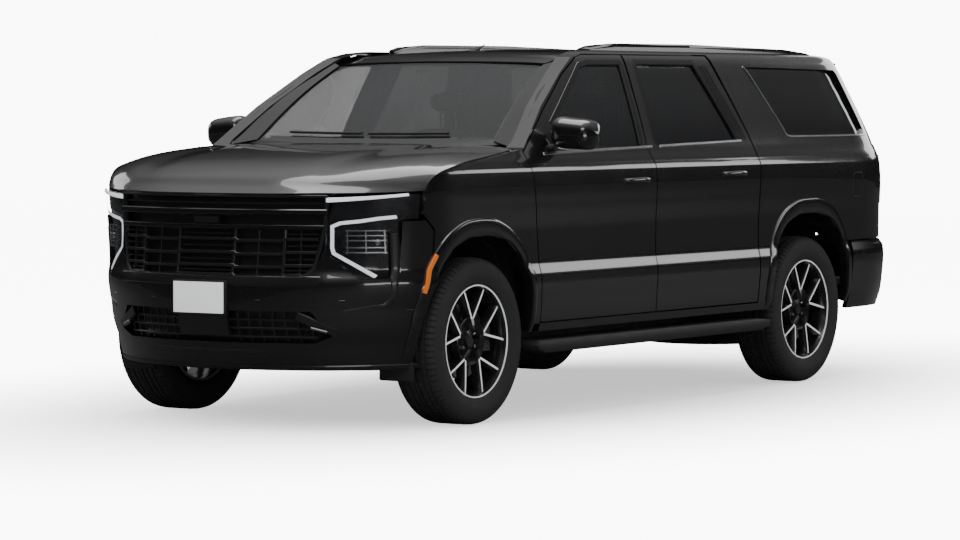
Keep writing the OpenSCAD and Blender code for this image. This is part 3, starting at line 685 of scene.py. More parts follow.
def screen_point(s, u):
    """The windscreen, from its foot (s 0) to its top (s 1) and from side to side (u -1 to 1)."""
    return np.stack([SCREEN_FOOT_X - SCREEN_RUN * s - (.07 - .034 * s) * u * u,
                     u * (SCREEN_HALF - SCREEN_NARROWING * s),
                     SCREEN_FOOT_Z + SCREEN_RISE * s + .026 * np.sin(PI * s) + (.014 - .032 * s) * u * u], -1)


ss, su = np.meshgrid(np.linspace(0, 1, 31), np.linspace(-1, 1, 61), indexing="ij")
screen = faced(loft("windscreen_glass", screen_point(ss, su), consistent=False), 100, 0)
applied(screen, "SOLIDIFY", thickness=.005, offset=-1)
finish_piece(smoothed(screen), "body", "clear_glass", [screen_glass, gloss_trim], "windshield")
for f in screen.data.polygons:
    up = (f.center.z - SCREEN_FOOT_Z) / .45
    if up > .93 or up < .07 or abs(f.center.y) > (SCREEN_HALF - SCREEN_NARROWING * up) - .03:
        f.material_index = 1  # the black band round the screen


def glass_panel(node, body, mat, along="x"):
    """A CAD pane, cut finely and shaded with the skin's own normals."""
    obj = copy_of(node, node + "_pane")
    low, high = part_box(node)
    sliced(obj, {"z": steps(low.z, high.z, .03), along: steps(getattr(low, along), getattr(high, along), .06)})
    shade_with(obj, np.ones(len(obj.data.vertices), bool), skin_normals(to_skin(coords(obj))))
    return finish_piece(obj, body, "dark_glass", mat, node)


for door in DOORS:
    glass_panel(door.replace("door", "glass"), door, front_glass if door.startswith("front") else dark_glass)
glass_panel("quarter_glass", "body", dark_glass)
glass_panel("tailgate_glass", "tailgate", dark_glass, along="y")

# ---------------------------------------------------------------- wheel arch lips
FRONT_ARCH = np.array([(-.452, .44), (-.45, .56), (-.425, .7), (-.34, .83), (-.2, .917), (-.05, .942), (.12, .936),
                       (.25, .893), (.35, .79), (.415, .65), (.445, .5), (.45, .31)])
REAR_ARCH = np.array([(-.45, .44), (-.448, .52), (-.425, .7), (-.35, .845), (-.22, .94), (-.05, .97), (.12, .967),
                      (.26, .93), (.37, .84), (.43, .7), (.455, .52), (.458, .44)])


ARCH_STEPS = 72


def arch_lip(name, arch, cx, widths):
    """A flared lip round a wheel arch, whose width changes from front to back."""
    path = through(arch + [cx, 0], ARCH_STEPS)
    out = across_of(path)
    top = ARCH_STEPS // 2
    if (out[top] * (path[top] - [cx, WHEEL_R])).sum() < 0:
        out = -out
    along = np.linspace(0, 1, ARCH_STEPS)
    wide = curve(widths)(along)
    shares = np.array([0, 0, 0, .06, .3, .6, .86, .95, 1, 1.02])
    high = np.array([-.05, -.01, .005, .0095, .011, .0105, .009, .007, .001, -.006])
    flat = path[:, None] + out[:, None] * (shares[None, :] * wide[:, None])[..., None]
    ends = (smooth01(along / .04) * smooth01((1 - along) / .04))[:, None]
    h = np.broadcast_to(high, flat.shape[:2]) * np.where(high > 0, ends, 1) - .001 * (1 - ends)
    lip = loft(name, on_side(flat[..., 0], flat[..., 1], h), consistent=False)
    if sum(f.normal.y for f in lip.data.polygons) < 0:
        lip.data.flip_normals()
    return smoothed(lip, 40)


both(arch_lip("front_arch_lip", FRONT_ARCH, FW, [(0, .032), (.2, .045), (.5, .09), (.75, .07), (1, .05)]), "body",
     "black_paint", paint)
both(arch_lip("rear_arch_lip", REAR_ARCH, RW, [(0, .03), (.2, .045), (.5, .085), (.8, .07), (1, .05)]), "body",
     "black_paint", paint)
marker = bar("side_marker", on_side, through([(2.262, .86), (2.305, .78), (2.337, .676)], 14), .026, .014, .002, .4)
both(smoothed(marker), "body", "lamp_lens", amber)

# ---------------------------------------------------------------- wheels
WHEEL_Y = .858
BLOCKS, SPOKE_PAIRS, NUTS = 84, 5, 6
NUT_CIRCLE = .058


def ring_points(profile, angles, dip=None):
    """Rows of a turned shape: (radius, outward) points swept round the wheel's axle."""
    rows = []
    for k, (r, y) in enumerate(profile):
        rr = np.full(len(angles), r) if dip is None else r - dip(k, angles)  # the tread's grooves
        rows.append(np.stack([rr * np.cos(angles), np.full(len(angles), y), rr * np.sin(angles)], 1))
    return np.array(rows)


def lathed(name, profile, angles, dip=None):
    """A shape turned on the axle; a profile that starts away from the axle is closed into a ring."""
    if profile[0][0]:
        profile = profile + profile[:1]
    return loft(name, ring_points(profile, angles, dip), closed=True)


side_line = [(.279, .098), (.282, .113), (.288, .121), (.3, .126), (.33, .134), (.352, .1345), (.376, .131),
             (.39, .126), (.4, .119), (.4075, .11), (.4115, .102), (.413, .095), (.4145, .089)]
tread = []
for y in (.085, .05, .015):
    tread += [(.415, y), (.407, y - .003), (.407, y - .009), (.4155, y - .012), (.4165, y - .022)]
tyre_profile = side_line + tread + [(r, -y) for r, y in reversed(side_line + tread)]
shoulder_rows = {k for k, (r, y) in enumerate(tyre_profile) if abs(y) > .087 and r > .398}
crown_rows = {k for k, (r, y) in enumerate(tyre_profile) if abs(y) < .087 and r > .412}
block_angles = np.sort(np.concatenate([(np.arange(BLOCKS) * 2 * PI / BLOCKS) + f * 2 * PI / BLOCKS
                                       for f in (0, .1, .16, .94)]))


def tread_dip(k, angles):
    """How far the grooves across the tread cut into each row of the tyre."""
    phase = (angles * BLOCKS / (2 * PI)) % 1
    cut = ((phase < .05) | ((phase > .08) & (phase < .13))).astype(float)
    return cut * (.006 if k in shoulder_rows else .0035 if k in crown_rows else 0)


tyre = smoothed(lathed("tyre", tyre_profile, block_angles, tread_dip), 38)
barrel_profile = [(.268, .1), (.282, .108), (.2822, .1145), (.2795, .1175), (.2755, .117), (.2745, .112),
                  (.268, .098), (.26, .07), (.25, .02), (.248, -.1), (.252, -.117), (.267, -.117)]
barrel = lathed("barrel", barrel_profile, around(144))
barrel.data.materials.append(wheel_black)
barrel.data.materials.append(turned)
for f in barrel.data.polygons:
    rr = math.hypot(f.center.x, f.center.z)
    f.material_index = 1 if rr > .2735 and f.center.y > .112 else 0


def spoke(angle0, angle1, r0, r1, name):
    """One arm: a bright narrow face on black flanks that widen to the back."""
    t = np.linspace(0, 1, 12)[:, None]
    a, b = [np.array([math.cos(angle), math.sin(angle)]) * r for angle, r in ((angle0, r0), (angle1, r1))]
    mid = a + (b - a) * t
    d = (b - a) / np.linalg.norm(b - a)
    n = np.array([-d[1], d[0]])
    face = .088 + .006 * np.sin(PI * t[:, 0] * .5) + .004 * t[:, 0]
    rows = []
    for k in range(12):
        w = .0056 - .0006 * t[k, 0]
        ring = [(-.017, -.045), (-w - .0035, -.006), (-w, 0), (w, 0), (w + .0035, -.006), (.017, -.045)]
        rows.append([[mid[k, 0] + n[0] * u, face[k] + v, mid[k, 1] + n[1] * u] for u, v in ring])
    obj = loft(name, np.array(rows), closed=True, capped=True)
    obj.data.materials.append(wheel_black)
    obj.data.materials.append(turned)
    for f in obj.data.polygons:
        f.material_index = 1 if f.normal.y > .9 and math.hypot(f.center.x, f.center.z) > .11 and r1 > r0 else 0
    return obj


arms = []
for i in range(SPOKE_PAIRS):
    mid_angle = PI / 2 + i * 2 * PI / SPOKE_PAIRS
    for s in (-1, 1):
        arms.append(spoke(mid_angle + s * .035, mid_angle + s * math.radians(19.5), .108, .277, "arm"))
        arms.append(spoke(mid_angle + s * .05, mid_angle + s * .03, .112, .055, "arm_root"))
hub_profile = [(0, .07), (.034, .07), (.036, .06), (.05, .052), (.075, .056), (.1, .072), (.118, .082), (.122, .078),
               (.12, .04), (0, .03)]
hub = lathed("hub", hub_profile, around(96))
hub.data.materials.append(wheel_black)
cap = lathed("cap", [(0, .076), (.028, .0755), (.0315, .072), (.032, .064), (0, .064)], around(64))
cap.data.materials.append(gloss_trim)
nuts = []
for i in range(NUTS):
    at = i * 2 * PI / NUTS + .5
    bpy.ops.mesh.primitive_cylinder_add(vertices=6, radius=.0095, depth=.022, rotation=(PI / 2, 0, 0),
                                        location=(NUT_CIRCLE * math.cos(at), .058, NUT_CIRCLE * math.sin(at)))
    bpy.ops.object.transform_apply(location=True, rotation=True, scale=True)
    bpy.context.object.data.materials.append(silver)
    nuts.append(bpy.context.object)
disc_profile = [(.09, .028), (.189, .028), (.19, .026), (.19, .002), (.189, 0), (.09, 0), (.088, .03), (.06, .05)]
disc = lathed("disc", disc_profile, around(96))
disc.data.materials.append(disc_steel)
rim = smoothed(joined([barrel, hub, cap, disc] + arms + nuts, "rim"), 32)


def wheel_place(src, name, cx, left):
    """A copy of a left-hand wheel piece, moved to its axle."""
    obj = own_copy(src, name)
    co = coords(obj) + [cx, WHEEL_Y, WHEEL_R]
    if not left:
        co[:, 1] *= -1
    set_coords(obj, co)
    if not left:
        obj.data.flip_normals()
    return obj


for end, cx in (("front", FW), ("rear", RW)):
    for side in ("left", "right"):
        for kind, src, slot_name, mats in (("tyre", tyre, "tyre_rubber", rubber), ("rim", rim, "wheel_alloy", [])):
            piece = wheel_place(src, f"{end}_{side}_{kind}_piece", cx, side == "left")
            finish_piece(piece, f"{end}_{side}_wheel", slot_name, mats, f"{end}_{side}_{kind}")
bpy.data.objects.remove(tyre)
bpy.data.objects.remove(rim)


# ---------------------------------------------------------------- pieces that keep their built shape
def dressed(node, body, slot_name, mat, width=.003):
    """A CAD node's own shape with its sharp edges rounded."""
    obj = copy_of(node, node + "_piece")
    applied(obj, "BEVEL", width=width, segments=2, limit_method="ANGLE", angle_limit=math.radians(35),
            use_clamp_overlap=True)
    return finish_piece(smoothed(obj, 40), body, slot_name, mat, node)


for node, body, slot_name, mat in (
        ("chassis_frame", "body", "frame_steel", chassis_paint), ("floor_pan", "body", "cabin_plastic", carpet),
        ("engine", "body", "cast_metal", cast), ("cowl", "body", "trim_plastic", trim),
        ("wheel_liners", "body", "trim_plastic", trim), ("door_frames", "body", "black_paint", paint),
        ("front_suspension", "body", "cast_metal", cast), ("rear_axle", "body", "frame_steel", chassis_paint),
        ("driveshaft", "body", "bare_steel", steel), ("exhaust", "body", "bare_steel", steel),
        ("spare_wheel", "body", "tyre_rubber", rubber), ("left_knuckle", "left_knuckle", "cast_metal", cast),
        ("right_knuckle", "right_knuckle", "cast_metal", cast), ("roof_rails", "body", "trim_plastic", gloss_trim),
        ("running_boards", "body", "trim_plastic", trim)):
    dressed(node, body, slot_name, mat, width=.008 if node == "running_boards" else .003)

# ---------------------------------------------------------------- nose
back_wall = loft("nose_backing", np.array([[on_nose(y, z, -.055) for y in np.linspace(-.63, .63, 41)]
                                           for z in np.linspace(.385, 1.15, 30)]), consistent=False)
finish_piece(smoothed(faced(back_wall, 40, 0)), "body", "trim_plastic", mesh_black, "grille")

painted, dark, gleam = [], [], []
painted.append(nose_bar("upper_bar", [(-.628, 1.07), (.628, 1.07)], .03, .004))
painted.append(nose_bar("under_bar", [(-.615, .998), (-.3, .998), (.3, .998), (.615, .998)], .022, .003))
painted.append(nose_bar("chin_bar", [(-.605, .736), (-.16, .736), (.16, .736), (.605, .736)], .058, .006, .03))
dark.append(nose_bar("slot_bar", [(-.6, 1.114), (.6, 1.114)], .008, -.012))
dark.append(nose_bar("slot_top", [(-.63, 1.148), (.63, 1.148)], .012, .0))
dark.append(nose_bar("emblem_blank", [(-.075, 1.031), (.075, 1.031)], .04, -.001))
for s in (-1, 1):
    rail = [(s * .628, 1.15), (s * .62, 1.0), (s * .6, .9), (s * .575, .8), (s * .53, .755)]
    dark.append(nose_bar("side_rail", rail, .018, .0))
for z in (.94, .875, .812, .768):
    low = z - .008
    dark.append(nose_bar("cross_bar", [(-.59, z), (-.43, z), (-.425, low), (-.18, low), (-.172, z),
                                       (.172, z), (.18, low), (.425, low), (.43, z), (.59, z)], .015, -.004, .03))
for z in (.908, .843, .79, .965):
    dark.append(nose_bar("middle_line", [(-.17, z), (.17, z)], .007, -.014, .03))
    for s in (-1, 1):
        dark.append(nose_bar("edge_line", [(s * .43, z), (s * .588, z)], .007, -.014, .03))
for y in (.17, .3, .43, .51):
    for s in (-1, 1):
        dark.append(nose_bar("upright", [(s * y, .985), (s * y, .76)], .014 if y in (.17, .43) else .007, -.006, .03))
for z in (.455, .5, .545):
    dark.append(nose_bar("intake_line", [(-.62 + abs(z - .5), z), (.62 - abs(z - .5), z)], .009, -.02, .03))
for y in np.linspace(.2, .56, 7):
    for s in (-1, 1):
        dark.append(nose_bar("intake_upright", [(s * y, .59), (s * y, .435)], .007, -.022, .03))
dark.append(nose_bar("intake_block", [(-.15, .52), (.15, .52)], .13, -.008, .03, .1))
dark.append(nose_bar("low_slot", [(-.32, .393), (.32, .393)], .016, .0006, .006))
dark.append(nose_bar("front_lip", [(-.93, .318), (-.6, .312), (0, .31), (.6, .312), (.93, .318)], .026, .004, .012))
for y, z in ((.32, .643), (.697, .644), (.923, .595)):
    for s in (-1, 1):
        dark.append(nose_bar("sensor", [(s * y - .011, z), (s * y + .011, z)], .022, .002, .006, .9))
for s in (-1, 1):
    dark.append(nose_bar("fog_pocket", [(s * .5, .57), (s * .66, .487)], .05, .0008, .006, .3))
    strip = [(s * .886, .97), (s * .886, .66), (s * .852, .617), (s * .7, .585)]
    dark.append(nose_bar("side_strip", strip, .03, .0012, .006))
    gleam.append(nose_bar("fog_lamp", [(s * .56, .51), (s * .625, .49)], .026, .004, .006, .7))
finish_piece(joined(painted, "nose_bars"), "body", "black_paint", paint)
finish_piece(joined(dark, "grille_bars"), "body", "trim_plastic", mesh_black)
finish_piece(joined(gleam, "fog_lamps"), "body", "lamp_lens", silver)

PLATE_Z = .652
plate_x = float(on_nose(0.0, .65)[0]) + .01
plate = block("front_plate", [.006, PLATE_WIDE, PLATE_TALL], [plate_x + .002, 0, PLATE_Z], .0025)
surround = block("plate_surround", [.02, PLATE_WIDE + .02, PLATE_TALL + .018], [plate_x - .011, 0, PLATE_Z], .004)
finish_piece(smoothed(surround), "body", "trim_plastic", trim)
finish_piece(smoothed(plate), "body", "trim_plastic", plate_white)

# ---------------------------------------------------------------- head lamps
housing = copy_of("headlights", "lamp_housing")
sliced(housing, {"z": steps(.75, 1.16, .02), "y": steps(-.966, .966, .035)})
co = coords(housing)
put = to_skin(co)
on = np.linalg.norm(put - co, axis=1) < .02
co[on] = put[on] - skin_normals(put)[on] * .024  # sunk behind the clear cover
set_coords(housing, co)
finish_piece(smoothed(housing), "body", "lamp_lens", gloss_trim, "headlights")
lens_rows = []
for z in np.linspace(.765, 1.152, 26):
    inner = np.interp(z, [.75, .76, .88, 1.15], [.72, .715, .635, .615])
    outer = np.interp(z, [.75, .79, .98, 1.03, 1.06, 1.152], [.79, .835, .88, .91, .948, .955])
    lens_rows.append([on_nose(y, z, -.002) for y in np.linspace(inner, outer, 22)])
lens = faced(loft("lamp_cover", np.array(lens_rows), consistent=False), 60, 0)
both(smoothed(lens), "body", "lamp_lens", lens_glass)
TOP_LIGHT = [(.625, 1.13), (.707, 1.134), (.808, 1.141), (.896, 1.15), (.94, 1.156)]
C_LIGHT = [(.9, 1.047), (.84, 1.04), (.766, 1.027), (.684, 1.018), (.65, 1.002), (.65, .9), (.657, .873),
           (.735, .822), (.824, .761)]
lights = [nose_bar("c_light", C_LIGHT, .017, -.008, .012),
          nose_bar("top_light", TOP_LIGHT, np.linspace(.023, .013, len(straight(TOP_LIGHT))), .0015, .012)]
chrome_bits = [nose_bar("module_edge", [(.705, z), (.862, z)], .006, -.012, .008, .2)
               for z in (.982, .958, .934, .9, .876)]
chrome_bits += [nose_bar("module_upright", [(y, .985), (y, .87)], .005, -.012, .008, .2)
                for y in (.714, .787, .855)]
bpy.ops.mesh.primitive_uv_sphere_add(segments=32, ring_count=16, radius=.017, location=on_nose(.832, .925, -.024))
bpy.ops.object.transform_apply(location=True)
chrome_bits.append(smoothed(bpy.context.object))
both(joined(lights, "light_guide"), "body", "lamp_lens", led)
both(joined(chrome_bits, "lamp_modules"), "body", "lamp_lens", silver)

# ---------------------------------------------------------------- sides
SIDE_DOORS = (("front", .252, 1.318), ("rear", -.728, .142))
FRONT_SEAL = [(.29, 1.37), (.212, 1.814), (.56, 1.812), (.65, 1.795), (1.125, 1.492)]
REAR_SEAL = [(.136, 1.37), (.066, 1.818), (-.55, 1.818), (-.757, 1.383)]


def belt_z(x):
    """The height of the window line, which falls gently forwards."""
    return 1.352 - .0224 * (x - .764)


for where, x0, x1 in SIDE_DOORS:
    body = f"{where}_left_door"
    belt = [(x, belt_z(x)) for x in (x0 - .045, x1 - .02)]
    both(side_bar(f"{where}_belt", belt, .014, .004), body, "trim_plastic", bright)
    seal = FRONT_SEAL if where == "front" else REAR_SEAL
    edge = [(x + .017, z) for x, z in seal]
    both(side_bar(f"{where}_window_trim", edge, .034, .0012, .004), body, "trim_plastic", gloss_trim)
for where, x, z in (("front", .43, 1.184), ("rear", -.614, 1.202)):
    body = f"{where}_left_door"
    hollow = through([(x - .1, z), (x, z + .002), (x + .1, z)], 14)
    cup = smoothed(bar("cup", on_side, hollow, .052, .0015, .003, .9), 50)
    grip = through([(x - .118, z + .004), (x - .04, z + .007), (x + .06, z + .006), (x + .118, z + .002)], 24)
    lift = .006 + .026 * np.sin(np.linspace(0, PI, 24)) ** .45
    across = np.array([-1, -.9, -.5, 0, .5, .9, 1])
    crown = np.array([-.012, -.003, .001, .002, .001, -.003, -.012])
    rows = [[on_side(p[0], p[1] + .0135 * a, h + c) for a, c in zip(across, crown)] for p, h in zip(grip, lift)]
    handle = smoothed(loft("grip", np.array(rows), closed=True, capped=True), 50)
    both(cup, body, "trim_plastic", trim, name=f"{where}_handle_cup")
    both(handle, body, "black_paint", paint, name=f"{where}_handle")
both(side_bar("b_pillar_trim", [(.155, 1.375), (.142, 1.5), (.098, 1.8)], .05, .0015, .004), "rear_left_door",
     "trim_plastic", gloss_trim)
for k, body in enumerate(("rear_left_door", "body", "body")):
    slat = [(-.755 - k * .034, 1.39), (-.585 - k * .034, 1.8)]
    both(side_bar(f"slat_{k}", slat, .02, .002, .004), body, "trim_plastic", gloss_trim)
QUARTER_EDGE = [(-1.085, 1.797), (-1.113, 1.775), (-1.318, 1.41), (-1.36, 1.404), (-2.3, 1.405)]
FUEL_DOOR = [(-2.03, 1.19), (-2.12, 1.19), (-2.135, 1.17), (-2.135, 1.07), (-2.12, 1.05), (-2.03, 1.05),
             (-2.015, 1.07), (-2.015, 1.17), (-2.03, 1.19)]
both(side_bar("quarter_trim", QUARTER_EDGE, .009, .003, .004), "body", "trim_plastic", bright)
both(side_bar("fuel_door_line", FUEL_DOOR, .004, .0006, .002), "body", "trim_plastic", trim)

# mirrors: a rounded shell, a dark foot and a glass facing back
MIRROR_X, MIRROR_Z = 1.162, 1.446
for side, s in (("left", 1), ("right", -1)):
    shell_rows = []
    for t in np.linspace(0, 1, 15):
        y = .982 + .242 * t
        grow = (1 - abs(2 * t - 1) ** 6) ** .5 * .98 + .02
        ca, sa = np.cos(around(40)), np.sin(around(40))
        px = MIRROR_X - .02 * t + np.sign(ca) * np.abs(ca) ** .75 * np.where(ca < 0, .062, .1) * grow
        pz = MIRROR_Z - .008 * t + np.sign(sa) * np.abs(sa) ** .6 * np.where(sa < 0, .084, .09 - .02 * t) * grow
        shell_rows.append(np.stack([px, np.full(40, s * y), pz], 1))
    shell = loft(f"{side}_mirror_shell", np.array(shell_rows), closed=True, capped=True)
    finish_piece(smoothed(shell, 45), f"front_{side}_door", "black_paint", paint, f"{side}_mirror")
    glass_rows = [[(1.0965 - .016 * (y - .995) / .2, s * y, MIRROR_Z + v * .06) for v in np.linspace(-1, 1, 8)]
                  for y in np.linspace(1.03, 1.17, 10)]
    pane = loft(f"{side}_mirror_glass", np.array(glass_rows))
    applied(pane, "SOLIDIFY", thickness=.012, offset=0)
    finish_piece(smoothed(pane), f"front_{side}_door", "dark_glass", bright)
    foot_ring = ((-.05, -.014), (.06, -.014), (.045, .016), (-.04, .016))
    foot_rows = [[(1.19 + dx * (1 - .3 * t), s * (.915 + .12 * t), 1.352 + .035 * t + dz * (1 - .3 * t))
                  for dx, dz in foot_ring] for t in np.linspace(0, 1, 6)]
    foot = loft(f"{side}_mirror_foot", np.array(foot_rows), closed=True, capped=True)
    applied(foot, "BEVEL", width=.006, segments=2)
    finish_piece(smoothed(foot), f"front_{side}_door", "trim_plastic", trim)

# the rails' feet and the windscreen pillars
rail_line = curve([(-2.22, .013), (-2.143, .028), (-1.883, .036), (.017, .036), (.267, .03), (.325, .013)])
rail_rows = []
for x in np.linspace(-2.2, .32, 60):
    ground = float(roof_line(x) - roof_fall(.93))
    rail_rows.append([(x, .61 + dy, ground + (-.012 if low else float(rail_line(x)))) for dy, low in
                      ((-.016, 1), (-.015, 0), (.015, 0), (.016, 1))])
rail_foot = loft("rail_foot", np.array(rail_rows), closed=True, capped=True)
both(smoothed(rail_foot), "body", "trim_plastic", gloss_trim)
edge_x = curve([(0, 1.468), (.12, 1.41), (.42, 1.182), (.78, .877), (1, .72)])
edge_z = curve([(0, 1.366), (.12, 1.405), (.42, 1.575), (.78, 1.748), (1, 1.825)])
pillar_rows = []
for t in np.linspace(0, 1, 40):
    inner = screen_point(np.array(t), np.array(.985)) - [.002, 0, .002]
    ex, ez = float(edge_x(t)), float(edge_z(t))
    outer = np.array([ex, float(side_y(ex, ez)) - .045, ez - .008])
    pillar_rows.append([inner + (outer - inner) * k for k in np.linspace(0, 1, 6)])
pillar = faced(loft("a_pillar", np.array(pillar_rows), consistent=False), 50, 1)
applied(pillar, "SOLIDIFY", thickness=.01, offset=-1)
both(smoothed(pillar), "body", "trim_plastic", gloss_trim)

for side, s in (("right", -1), ("left", 1)):
    wall = block(f"arch_wall_{side}", [.94, .006, .46], [RW, s * .634, .75], .002)
    finish_piece(smoothed(wall), "body", "trim_plastic", trim)

# roof: fin antenna, wipers, cowl lip
fin_rows = [[(.3 - .16 * t + .085 * (1 - t) * math.cos(a), -.12 + .024 * math.sin(a) * (1 - .8 * t), 1.866 + .05 * t)
             for a in around(24)] for t in np.linspace(0, 1, 10)]
fin = loft("fin_antenna", np.array(fin_rows), closed=True, capped=True)
finish_piece(smoothed(fin, 50), "body", "black_paint", gloss_trim)
for k, ends in enumerate(((.62, -.02), (-.08, -.72))):
    line = np.array([screen_point(np.array(.095), np.array(u)) for u in np.linspace(*ends, 16)]) + [.012, 0, .006]
    rows = [[p + [.007 * math.cos(b), 0, .007 * math.sin(b)] for b in around(8)] for p in line]
    wiper = loft(f"wiper_{k}", np.array(rows), closed=True, capped=True)
    finish_piece(smoothed(wiper, 50), "body", "trim_plastic", trim)
cowl_rows = [[(1.472 - .01 * t - .07 * u * u, u * .8, 1.372 + .006 * t + .012 * u * u) for t in (0, 1, 2, 3, 4)]
             for u in np.linspace(-1, 1, 31)]
lip = faced(loft("cowl_lip", np.array(cowl_rows), consistent=False), 10, 2)
applied(lip, "SOLIDIFY", thickness=.006, offset=-1)
finish_piece(smoothed(lip), "body", "trim_plastic", trim)
for side, s in (("right", -1), ("left", 1)):
    flap = block(f"air_flap_{side}", [.03, .2, .1], [2.33, s * .8, .29], .01)
    finish_piece(smoothed(flap), "body", "trim_plastic", trim)

# ---------------------------------------------------------------- tail
lamp = copy_of("tail_lights", "tail_lamp_body")
sliced(lamp, {"z": steps(1.001, 1.346, .02), "x": steps(-2.635, -2.467, .02)})
co = coords(lamp)
put = to_skin(co)
on = np.linalg.norm(put - co, axis=1) < .03
co[on] = put[on] + skin_normals(co)[on] * .003
set_coords(lamp, co)
shade_with(lamp, on, skin_normals(co))
finish_piece(lamp, "body", "red_lens", red, "tail_lights")
lamp_lines = [tail_bar("lamp_line", [(.832, z), (.93, z)], .008, .005, .004) for z in (1.06, 1.17, 1.28)]
both(joined(lamp_lines, "tail_lamp_lines"), "body", "trim_plastic", gloss_trim)
gate_bits = [tail_bar("gate_grip", [(-.34, .985), (.34, .985)], .035, .012, .01, .4),
             tail_bar("gate_band", [(-.79, 1.19), (.79, 1.19)], .05, .003, .006)]
finish_piece(joined(gate_bits, "gate_trim"), "tailgate", "trim_plastic", gloss_trim)
rear_plate = bar("rear_plate", on_tail, [(-PLATE_WIDE / 2, 1.08), (PLATE_WIDE / 2, 1.08)], PLATE_TALL, .006, .004, .05)
finish_piece(smoothed(rear_plate), "tailgate", "trim_plastic", plate_white)
step_pad = tail_bar("rear_step", [(-.72, .762), (.72, .762)], .036, .006, .01, .4)
valance = tail_bar("rear_valance", [(-.86, .46), (.86, .46)], .1, .004, .01, .2)
finish_piece(joined([step_pad, valance], "rear_bumper_trim"), "body", "trim_plastic", trim)
spoiler_rows = [[(-2.47 - .1 * t, u * (.63 - .02 * t), 1.847 - .004 * t - .016 * u * u - lo * (.028 - .018 * t))
                 for t, lo in ((0, 0), (.25, 0), (.5, 0), (.75, 0), (1, 0), (1, 1), (.6, 1), (.3, 1), (0, 1))]
                for u in np.linspace(-1, 1, 31)]
spoiler = smoothed(loft("roof_spoiler", np.array(spoiler_rows), closed=True, capped=True), 45)
finish_piece(spoiler, "tailgate", "black_paint", paint)

# ---------------------------------------------------------------- cabin


def cushion(name, size, at, tilt=0.0, crown=.03, channels=0):
    """A pad: crowned faces, sides drawn in between the corners, stitched channels across the top."""
    bpy.ops.mesh.primitive_cube_add(size=2)
    obj = bpy.context.object
    obj.name = obj.data.name = name
    edit_all(obj, bpy.ops.mesh.subdivide, number_cuts=15)
    c = coords(obj)
    u, v, w = c.T
    squareness = 3.2
    k = (np.abs(c) ** squareness).sum(1) ** (1 / squareness)
    r = c * (np.abs(c).max(1) / k)[:, None]
    sx, sy, sz = [q / 2 for q in size]
    out = np.stack([r[:, 0] * sx * (1 - .05 * (1 - v * v) * np.abs(r[:, 0]) ** 6),
                    r[:, 1] * sy * (1 - .05 * (1 - u * u) * np.abs(r[:, 1]) ** 6),
                    r[:, 2] * sz], 1)
    top = smooth01((r[:, 2] - .3) / .4)
    out[:, 2] -= crown * top * (u * u * .45 + v * v * .45)
    for i in range(channels):
        at_u = -.6 + 1.2 * i / max(1, channels - 1)
        out[:, 2] -= .007 * top * np.exp(-((u - at_u) / .05) ** 2)
    for s in (-1, 1):
        out[:, 2] -= .009 * top * np.exp(-((v - s * .62) / .06) ** 2)
    ct, st = math.cos(tilt), math.sin(tilt)
    tilted = np.stack([out[:, 0] * ct + out[:, 2] * st, out[:, 1], -out[:, 0] * st + out[:, 2] * ct], 1)
    set_coords(obj, tilted + np.array(at))
    applied(obj, "SUBSURF", levels=1)
    return smoothed(obj, 80)


def seat_row(node, x, places, width):
    """A row of seats, each with a base, a back and a frame; its first pad stands for the CAD node."""
    for i, y in enumerate(places):
        base = cushion(f"{node}_base_{i}", (.45, width - .03, .13), (x + .015, y, CABIN_FLOOR + .3), -.11, .02, 4)
        back = cushion(f"{node}_back_{i}", (.54, width - .03, .09), (x - .243, y, CABIN_FLOOR + .64),
                       math.radians(79), .018, 4)
        for pad in (base, back):
            finish_piece(pad, "body", "seat_leather", leather, *([node] if i == 0 and pad is base else []))
        box = block(f"{node}_frame_{i}", [.44, width - .06, .24], [x + .005, y, CABIN_FLOOR + .13], .02, 3)
        finish_piece(smoothed(box), "body", "cabin_plastic", cabin)


def head_rest(name, x, y):
    """A padded rest on two steel posts."""
    rest = cushion(name, (.085, .25, .11), (x - .345, y, CABIN_FLOOR + 1.04), 0, .01)
    finish_piece(rest, "body", "seat_leather", leather)
    posts = []
    for s in (-1, 1):
        bpy.ops.mesh.primitive_cylinder_add(vertices=20, radius=.007, depth=.12,
                                            location=(x - .33, y + s * .05, CABIN_FLOOR + .95))
        bpy.ops.object.transform_apply(location=True)
        posts.append(bpy.context.object)
    finish_piece(smoothed(joined(posts, name + "_posts")), "body", "bare_steel", steel)


ROW_X = {"front": .37, "second": -.52, "third": -1.33}
PAIR = (-.43, .43)
seat_row("front_seats", ROW_X["front"], PAIR, .54)
seat_row("second_row_seats", ROW_X["second"], PAIR, .54)
seat_row("third_row_seats", ROW_X["third"], (-.393, 0, .393), .39)
for label, ys in (("front", PAIR), ("second", PAIR), ("third", (-.4, .4))):
    for k, y in enumerate(ys):
        head_rest(f"{label}_head_rest_{k}", ROW_X[label], y)
dash = copy_of("dashboard", "dashboard_moulding")
applied(dash, "BEVEL", width=.018, segments=3, limit_method="ANGLE", angle_limit=math.radians(25),
        use_clamp_overlap=True)
finish_piece(smoothed(dash, 45), "body", "cabin_plastic", cabin, "dashboard")
for name, y, z, wide, tall in (("driver_display", .41, 1.21, .28, .1), ("centre_display", .02, 1.15, .4, .17)):
    panel = block(name, [.014, wide, tall], [.838, y, z], .004)
    finish_piece(smoothed(panel), "body", "cabin_plastic", gloss_trim)
dressed("steering_wheel", "steering_wheel", "seat_leather", leather)

# ---------------------------------------------------------------- stage, lights, camera
bpy.ops.mesh.primitive_plane_add(size=60, location=(0, 0, 0))
floor = bpy.context.object
floor.name = "floor"
floor_mat = grained("pale_floor", (.9, .9, .9), shade=.02, rough=.6, uneven=.1, scale=20.0, relief=.02)
fs, ft = floor_mat.node_tree.nodes["Principled BSDF"], floor_mat.node_tree
